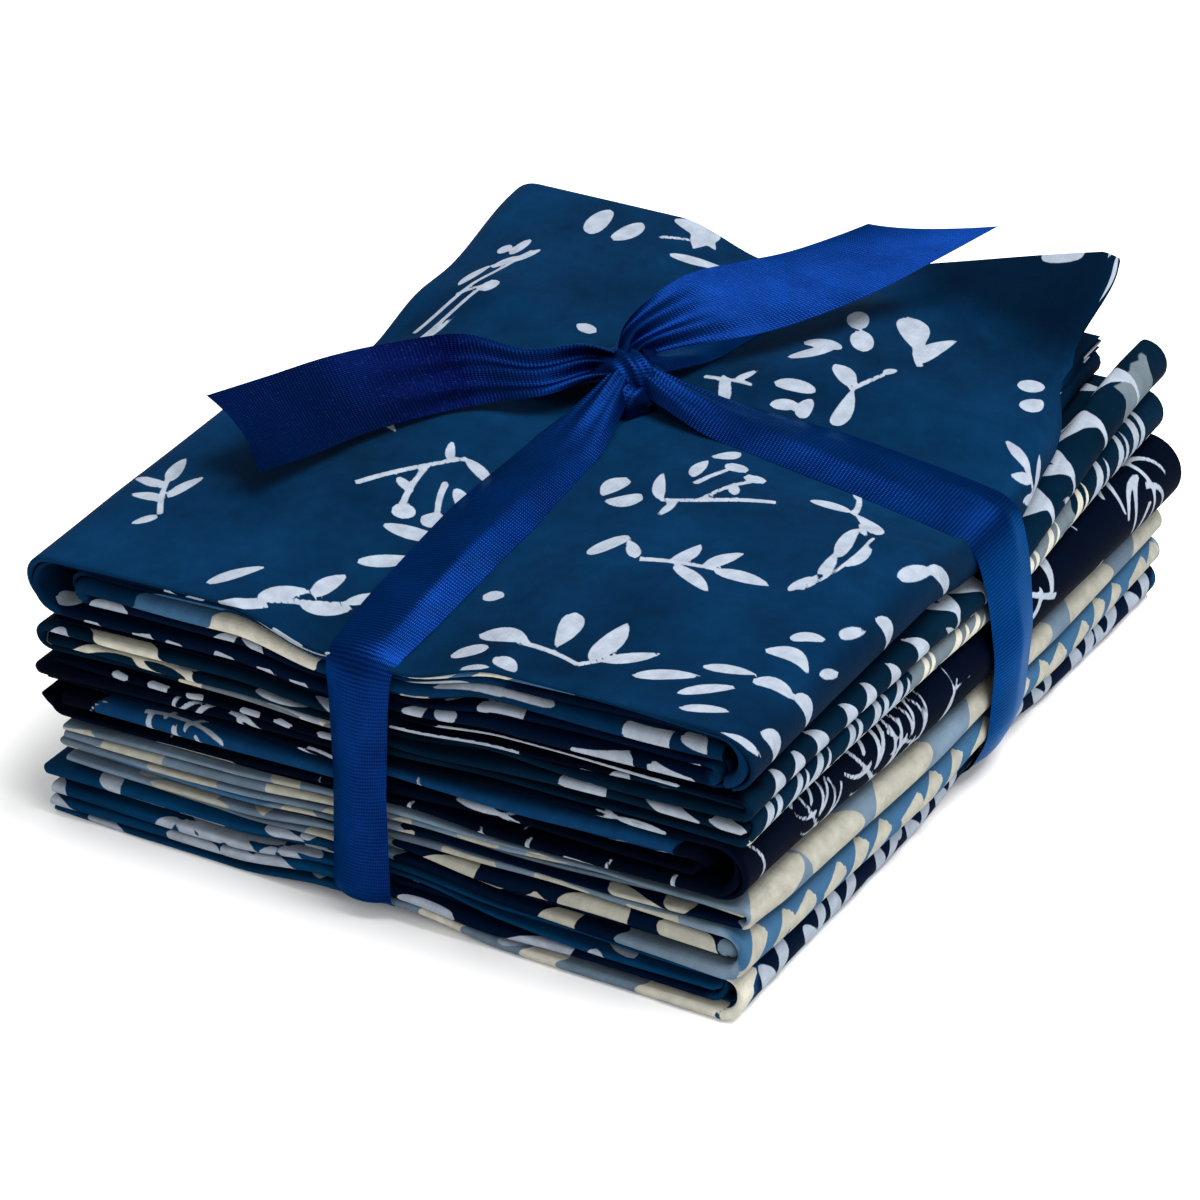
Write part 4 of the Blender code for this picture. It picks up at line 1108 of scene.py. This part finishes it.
def satin():
    n = Nodes("royal_blue_satin")
    place = n.make("ShaderNodeUVMap", uv_map="cloth").outputs[0]
    threads = [n.bands(place, *bands) for bands in SATIN_BANDS]
    weave = n.math("MULTIPLY", *threads)
    mottle = n.ramp(n.noise(place, *SATIN_MOTTLE), *EVEN)
    paint = n.mix(mottle, colour(SATIN_LOW), colour(SATIN_HIGH))
    # Painted sheen: the satin is brighter on its threads, where they catch the light.
    paint = n.mix(n.math("MULTIPLY", weave, SATIN_SHINE), paint, colour(SATIN_PAINTED_SHEEN))
    # The dull side of the satin, and painted shade where the left tail twists.
    paint = n.mix(n.attribute("reverse"), paint, colour(SATIN_DULL_AND_SHADE))
    # Painted glints: bright specks on the threads.
    painted_glint = n.math("MULTIPLY", n.ramp(n.noise(place, *SATIN_GLINT_NOISE), *GLINT_RANGE), threads[1])
    paint = n.mix(n.math("MULTIPLY", painted_glint, SATIN_FLASHES), paint, colour(SATIN_PAINTED_GLINT))
    return n.finish(paint, SATIN_GLOSS, weave, SATIN_RELIEF)


def pale_floor():
    n = Nodes("pale_floor")
    place = n.make("ShaderNodeTexCoord").outputs["Object"]
    tone = n.ramp(n.noise(place, *FLOOR_MOTTLE), *EVEN)
    darker = tuple(c * FLOOR_DARKER for c in FLOOR_COLOUR) + (1.0,)
    return n.finish(n.mix(tone, darker, FLOOR_COLOUR + (1.0,)), FLOOR_GLOSS)


# ---------------------------------------------------------------- the ribbon

# How far the ribbon lies off the cloth and off the floor, where an arm's path starts beside
# the middle of the stack, how high and how far out it ends in the knot, and its steps.
RIBBON_GAP, STRAND_FLOOR, ARM_CLEAR = 0.5, 0.6, 0.5
KNOT_LIFT, KNOT_REACH = 2.7, 3.2
SIDE_BAND = 15.0
ARM_STEP, ARM_COLUMNS = 1.5, 20
UPRIGHT_RIBBON = 0.7

# How wide the ribbon is along each arm: stage 0 is under the middle of the stack, 1 its
# lower edge, 2 its upper edge and 3 the knot.
ARM_WIDTHS = table("stage front back left right", [
    (0, 15, 15, 15, 15), (0.8, 13, 15, 14.5, 13.5), (1, 9.5, 14.5, 13, 12), (1.5, 8.6, 14, 12.5, 13),
    (1.85, 9.6, 14, 11, 14.5), (2, 10.6, 14.5, 11, 15), (2.15, 12.5, 15, 11.5, 15),
    (2.5, 13.5, 14, 13.5, 14), (2.8, 11, 11, 11, 11), (2.93, 7, 7, 7, 7), (3, 4.5, 4.5, 4.5, 4.5),
])

# How far the left arm strays sideways, and the stages over which it does and comes back.
SWAY = {"left": -5.6}
SWAY_OUT, SWAY_BACK = (0.2, 1.2), (2.1, 3.0)

# How far a lengthwise fold of each arm stands up, where it lies across the arm (-1 to 1),
# and the stages over which it rises and falls.
RIDGES = table("arm across rise start full end", [
    ("front", 0.35, 1.7, 1.95, 2.35, 2.9), ("front", -0.55, 0.7, 2.3, 2.6, 2.95),
    ("front", 0.1, 0.6, 1, 1.5, 2), ("right", -0.3, 1.3, 2, 2.6, 2.95), ("right", 0.45, 0.8, 1.7, 2.1, 2.9),
    ("right", 0.15, 0.5, 1, 1.5, 2), ("left", 0.25, 1.1, 2, 2.5, 2.95), ("back", -0.25, 1.1, 2, 2.5, 2.95),
])
RIDGE_POWER = 1.3

# How far a gathered arm bulges, and how deep its pleats are as it nears the knot.
BULGE, BULGE_POWER = 4.0, 2.2
PLEAT, PLEAT_STAGES = 0.5, (2.3, 3.0)

# The free ends: the middle of the ribbon along each, and half its width there as an arrow.
STATION = "x y z half_x half_y half_z"
LEFT_TAIL = table(STATION, [
    (-3.5, 6.5, 52.4, -1, 0.8, 1.6), (-8, 4.8, 52.4, -1.6, 1.5, 2), (-13.6, -0.4, 51.7, -3.1, 2.8, 1.8),
    (-21.8, -4.4, 52, -3.9, 3.4, 3.2), (-28.4, -11.4, 51.8, -4.9, 3.9, 3.1),
    (-33.8, -19.8, 51.8, -5.7, 3.9, 3), (-36.8, -31, 52.8, -5.9, 3, 3.4),
    (-39.5, -42.1, 54.3, -6.1, 2.8, 3.3),
])
RIGHT_TAIL = table(STATION, [
    (-3, 7, 53, -1, 0.2, 1.4), (-4.2, 13.8, 53, -2.2, 0, 2), (-1.5, 21, 53.6, -4.6, 0, 2.6),
    (3, 29, 54.2, -6.3, -0.5, 3.6), (8.5, 36, 55, -6.6, -1.4, 3.3), (13.5, 43.5, 55.8, -6.9, -2.1, 2.4),
    (18.1, 51.5, 57.2, -7.3, -2.6, 1.4), (22.5, 59, 59, -8, -3.6, 0.5),
])
TAIL_STEPS, TAIL_COLUMNS = 10, 24
TAIL_PLEAT, TAIL_PLEATS, TAIL_TROUGH = 1.5, 2.5, 0.5

# The cut ends: how deep the notch is, how much further one corner reaches, and where along
# the tail they begin.
END_NOTCH, RIGHT_SLANT = 2.2, -1.5
END_START, END_LONG = 0.85, 0.15

# How dark each tail is along its length: the left one turns its dull side up and is darkest,
# as painted shade, where it twists in its middle; the right one is a little darker, most near
# the knot.
LEFT_TONES = ((0.0, 0.5), (0.16, 0.2), (0.32, 0.3), (0.46, 1.0), (0.62, 0.95), (0.78, 0.80), (1.0, 0.80))
RIGHT_TONES = ((0.0, 0.3), (0.2, 0.1), (1.0, 0.15))

# The turns of the knot: centre, the axis that each goes round, its radius and how far it is
# drawn out sideways, half its width, how far it runs askew, and the depth of its pleats.
KNOT = table("x y z axis_x axis_y axis_z radius long half skew pleat", [
    (-2.9, 7.7, 49.9, 0.74, 0.66, 0.06, 4.2, 1.05, 4.4, 1.5, 0.34),
    (-0.6, 4.6, 47.9, 0.96, 0.18, -0.2, 3, 1.15, 3.4, -1, 0.26),
])
WRAP_PARTS = 48

# How many pleats a turn has and how they sway, and how far its edges are drawn in.
WRAP_PLEATS, WRAP_SWAY = 3.5, 0.35
WRAP_DRAWN, WRAP_POWER = 0.8, 2.8


def hull(points):
    """The convex outline of flat points, anticlockwise: the path of a ribbon pulled tight."""
    def cross(o, a, b):
        return (a[0] - o[0]) * (b[1] - o[1]) - (a[1] - o[1]) * (b[0] - o[0])

    ordered = sorted(set(points))
    outline = []
    for run in (ordered, ordered[::-1]):
        chain = []
        for point in run:
            while len(chain) > 1 and cross(chain[-2], chain[-1], point) <= 0.0:
                chain.pop()
            chain.append(point)
        outline += chain[:-1]
    return outline


def lengths_along(path):
    return np.concatenate([[0.0], np.cumsum(np.linalg.norm(np.diff(path, axis=0), axis=1))])


def evened(path, step):
    """Points along a line at even distances, with its corners softened."""
    for _ in range(2):
        lengths = lengths_along(path)
        places = np.linspace(0.0, lengths[-1], max(3, int(round(lengths[-1] / step)) + 1))
        path = np.stack([np.interp(places, lengths, column) for column in path.T], axis=1)
        inner = (path[:-2] + 2.0 * path[1:-1] + path[2:]) / 4.0
        path = np.concatenate([path[:1], inner, path[-1:]])
    return path


def stack_points(sheets, along_y):
    """The sheets' own points under a strand, as distance along it and height."""
    across, along, centre = (0, 1, STRAND_X) if along_y else (1, 0, STRAND_Y)
    points = np.concatenate(sheets)
    under = points[np.abs(points[:, across] - centre) < RIBBON_WIDTH / 2.0]
    return [tuple(point) for point in np.round(under[:, [along, 2]], 2)]


def arm_path(outline, centre, direction):
    """The part of a strand's outline from under the stack to the knot, on one side."""
    around = outline if direction > 0.0 else outline[::-1]
    beyond = [(p[0] - centre) * direction > ARM_CLEAR for p in around]
    first = next(n for n in range(len(around)) if beyond[n] and not beyond[n - 1])
    middle = np.mean(outline, axis=0)
    path = [np.array((centre, STRAND_FLOOR))]
    for n in range(first, first + len(around)):
        if beyond[n % len(around)]:
            point = np.array(around[n % len(around)])
            away = point - middle
            beside = abs(away[1]) < SIDE_BAND
            away = np.array([np.sign(away[0]), 0.0]) if beside else away / np.linalg.norm(away)
            path.append(point + away * RIBBON_GAP)
    top = max(p[1] for p in outline)
    path.append(np.array((centre + direction * KNOT_REACH, top + KNOT_LIFT)))
    return evened(np.array(path), ARM_STEP)


def width_at(stage, arm):
    stages = [row.stage for row in ARM_WIDTHS]
    return np.interp(stage, stages, [getattr(row, arm) for row in ARM_WIDTHS])


def stages_of(lengths, tangents):
    """The stage that each point of an arm's path has reached."""
    upright = np.flatnonzero(np.abs(tangents[:, 1]) > UPRIGHT_RIBBON)
    marks = [0.0, lengths[upright[0]], lengths[upright[-1]], lengths[-1]]
    return np.interp(lengths, marks, [0.0, 1.0, 2.0, 3.0])


def ridged(arm, stage, c):
    """The rise of the lengthwise folds of an arm at a place across it."""
    rise = 0.0
    for ridge in (row for row in RIDGES if row.arm == arm):
        rising = smooth_step(stage, ridge.start, ridge.full)
        share = min(rising, 1.0 - smooth_step(stage, ridge.full, ridge.end))
        side = (1.0 - ridge.across) if c > ridge.across else (1.0 + ridge.across)
        rise += ridge.rise * share * max(0.0, 1.0 - abs(c - ridge.across) / side) ** RIDGE_POWER
    return rise


def eased(values, place):
    """A smooth curve through evenly spaced values, read at a place between two of them."""
    first = min(int(place), len(values) - 2)
    share = place - first
    before = values[max(first - 1, 0)]
    here, after = values[first], values[first + 1]
    beyond = values[min(first + 2, len(values) - 1)]
    bend = (after - before) * 0.5 * share
    curve = (before * 2.0 - here * 5.0 + after * 4.0 - beyond) * 0.5 * share ** 2
    twist = (here * 3.0 - before - after * 3.0 + beyond) * 0.5 * share ** 3
    return here + bend + curve + twist


def across_steps(columns):
    """Places across the ribbon, from one edge (-1) to the other (1)."""
    return [2.0 * step / columns - 1.0 for step in range(columns + 1)]


class Ribbon:
    """Gathers the strips of the ribbon with their places along and across it."""

    def __init__(self):
        self.points, self.faces, self.along, self.across, self.reverse = [], [], [], [], []

    def add(self, rows, lengths, reverse=None):
        """Adds a strip, given as its rows of points, how far along each is, and its tone."""
        first, columns = len(self.points), len(rows[0])
        for row, length, tone in zip(rows, lengths, reverse or [0.0] * len(rows)):
            self.points += [tuple(point) for point in row]
            self.along += [length] * columns
            self.reverse += [tone] * columns
            self.across += [(n / (columns - 1) - 0.5) * RIBBON_WIDTH for n in range(columns)]
        for r in range(len(rows) - 1):
            for start in range(first + r * columns, first + (r + 1) * columns - 1):
                self.faces.append((start, start + 1, start + columns + 1, start + columns))


def add_arm(ribbon, sheets, arm):
    along_y = arm in ("front", "back")
    direction = -1.0 if arm in ("front", "left") else 1.0
    outline = hull(stack_points(sheets, along_y))
    path = arm_path(outline, STRAND_Y if along_y else STRAND_X, direction)
    lengths = lengths_along(path)
    tangents = np.gradient(path, axis=0)
    tangents /= np.linalg.norm(tangents, axis=1)[:, None]
    rows = []
    for point, tangent, stage in zip(path, tangents, stages_of(lengths, tangents)):
        width = width_at(stage, arm)
        out = np.array([tangent[1], -tangent[0]]) * direction
        gathered = limited(1.0 - width / RIBBON_WIDTH) if stage > 1.0 else 0.0
        sway = smooth_step(stage, *SWAY_OUT) * (1.0 - smooth_step(stage, *SWAY_BACK))
        row = []
        for c in across_steps(ARM_COLUMNS):
            beside = c * width / 2.0 + SWAY.get(arm, 0.0) * sway
            pleat = PLEAT * gathered * (1.0 + math.cos(3.0 * math.pi * c))
            lift = BULGE * gathered * (1.0 - abs(c) ** BULGE_POWER) + ridged(arm, stage, c)
            along, z = point + out * (lift + pleat * smooth_step(stage, *PLEAT_STAGES))
            row.append((STRAND_X + beside, along, z) if along_y else (along, STRAND_Y + beside, z))
        rows.append(row)
    ribbon.add(rows, lengths)


def add_tail(ribbon, stations, slant, tones):
    middles = [Vector((s.x, s.y, s.z)) for s in stations]
    halves = [Vector((s.half_x, s.half_y, s.half_z)) for s in stations]
    last = (len(stations) - 1) * TAIL_STEPS
    centres = [eased(middles, n / TAIL_STEPS) for n in range(last + 1)]
    rows, lengths, reverse = [], [], []
    for n, middle in enumerate(centres):
        half = eased(halves, n / TAIL_STEPS)
        # The dull side, and painted shade on the left tail's twist.
        reverse.append(float(np.interp(n / last, *zip(*tones))))
        ahead = centres[min(n + 1, last)] - centres[max(n - 1, 0)]
        normal = half.cross(ahead).normalized()
        gathered = max(0.0, 1.0 - 2.0 * half.length / RIBBON_WIDTH)
        lengths.append(lengths[-1] + (middle - centres[n - 1]).length if n else 0.0)
        row = []
        for c in across_steps(TAIL_COLUMNS):
            pleat = gathered * TAIL_PLEAT * math.cos(c * math.pi * TAIL_PLEATS)
            trough = TAIL_TROUGH * (1.0 - c * c) * (1.0 - gathered)
            end = (slant * c - END_NOTCH * (1.0 - c * c)) * max(0.0, n / last - END_START) / END_LONG
            row.append(middle + half * c + normal * (pleat - trough) + ahead.normalized() * end)
        rows.append(row)
    ribbon.add(rows, lengths, reverse)


def add_wrap(ribbon, wrap):
    """One turn of gathered ribbon round the knot, drawn in at both its edges."""
    axis = Vector((wrap.axis_x, wrap.axis_y, wrap.axis_z)).normalized()
    side = axis.cross(Vector((0.0, 0.0, 1.0))).normalized()
    up = side.cross(axis).normalized()
    centre = Vector((wrap.x, wrap.y, wrap.z))
    rows, lengths = [], []
    for n in range(WRAP_PARTS + 1):
        angle = 2.0 * math.pi * n / WRAP_PARTS
        out = side * math.cos(angle) * wrap.long + up * math.sin(angle)
        row = []
        for c in across_steps(TAIL_COLUMNS):
            pleat = wrap.pleat * math.cos(math.pi * (c * WRAP_PLEATS + WRAP_SWAY * math.sin(angle)))
            radius = wrap.radius * (1.0 - WRAP_DRAWN * abs(c) ** WRAP_POWER) + pleat * (1.0 - c * c)
            skew = wrap.skew * math.cos(angle)
            row.append(centre + out * radius + axis * (c * wrap.half + skew))
        rows.append(row)
        lengths.append(angle * wrap.radius)
    ribbon.add(rows, lengths)


def build_ribbon(sheets):
    ribbon = Ribbon()
    for arm in ("front", "back", "left", "right"):
        add_arm(ribbon, sheets, arm)
    for wrap in KNOT:
        add_wrap(ribbon, wrap)
    add_tail(ribbon, LEFT_TAIL, 0.0, LEFT_TONES)
    add_tail(ribbon, RIGHT_TAIL, RIGHT_SLANT, RIGHT_TONES)
    u, v = np.array(ribbon.across), np.array(ribbon.along)
    obj = make_object("ribbon_tie", ribbon.points, ribbon.faces, u, v)
    # How far each point shows the satin's dull side, and painted shade on the left tail.
    add_values(obj, "reverse", ribbon.reverse)
    return obj


# ---------------------------------------------------------------- the stage

# The camera: its angles in degrees, its distance, its focal length in pixels of the image,
# and how far beside and below the middle of the stack it aims.
AZIMUTH, ELEVATION, DISTANCE = 29.4, 31.0, 684.0
FOCAL, IMAGE, SENSOR = 4575.0, 1200.0, 36.0
AIM_RIGHT, AIM_UP, AIM_HEIGHT = -2.508, -6.612, 23.94
CLIP = (0.05, 20.0)

# The lights: place and diameter in metres, and power in watts. Both aim at one point.
LIGHTS = table("name place size watts", [
    ("overhead", (0.24, 0.08, 0.72), 0.50, 8.4), ("right", (0.75, -0.50, 0.38), 0.45, 2.6),
])
LIGHT_AIM = (0.0, 0.0, 0.03)
ROOM_LIGHT = 0.74
FLOOR_REACH = 4.0


def look_along(obj, place, direction):
    """Puts a camera or a light at a place, facing a direction."""
    obj.location = place
    obj.rotation_mode = "QUATERNION"
    obj.rotation_quaternion = direction.to_track_quat("-Z", "Y")


def make_camera():
    azimuth, elevation = math.radians(AZIMUTH), math.radians(ELEVATION)
    back = Vector((
        math.sin(azimuth) * math.cos(elevation), -math.cos(azimuth) * math.cos(elevation),
        math.sin(elevation)))
    right = (-back).cross(Vector((0.0, 0.0, 1.0))).normalized()
    up = right.cross(-back)
    target = Vector((0.0, 0.0, AIM_HEIGHT)) + right * AIM_RIGHT + up * AIM_UP
    data = bpy.data.cameras.new("camera")
    data.sensor_width, data.lens = SENSOR, FOCAL * SENSOR / IMAGE
    data.clip_start, data.clip_end = CLIP
    camera = linked("camera", data)
    look_along(camera, (target + back * DISTANCE + Vector(FRAME_SHIFT)) * MM, -back)
    bpy.context.scene.camera = camera


def make_stage():
    mesh = bpy.data.meshes.new("floor")
    corners = [(x * FLOOR_REACH, y * FLOOR_REACH, 0.0) for x, y in ((-1, -1), (1, -1), (1, 1), (-1, 1))]
    mesh.from_pydata(corners, [], [(0, 1, 2, 3)])
    mesh.materials.append(pale_floor())
    linked("floor", mesh)
    world = bpy.data.worlds.new("studio")
    world.use_nodes = True
    background = world.node_tree.nodes["Background"]
    background.inputs[0].default_value = WHITE
    background.inputs[1].default_value = ROOM_LIGHT
    bpy.context.scene.world = world
    for light in LIGHTS:
        data = bpy.data.lights.new(light.name, "AREA")
        data.shape, data.size, data.energy = "DISK", light.size, light.watts
        look_along(linked(light.name, data), light.place, Vector(LIGHT_AIM) - Vector(light.place))
    bpy.context.scene.view_settings.view_transform = "Standard"


# ---------------------------------------------------------------- the whole

make_camera()
sheets = []
for piece in reversed(PIECES):
    cloth = build_piece(piece)
    cloth.data.materials.append(cotton(piece))
    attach(cloth, "root")
    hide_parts(piece.name)
    co = np.zeros(len(cloth.data.vertices) * 3, np.float32)
    cloth.data.vertices.foreach_get("co", co)
    sheets.append(co.reshape(-1, 3) / MM - np.array(FRAME_SHIFT))

tie = build_ribbon(sheets)
tie.data.materials.append(satin())
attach(tie, "root")
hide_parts("ribbon_tie")

make_stage()
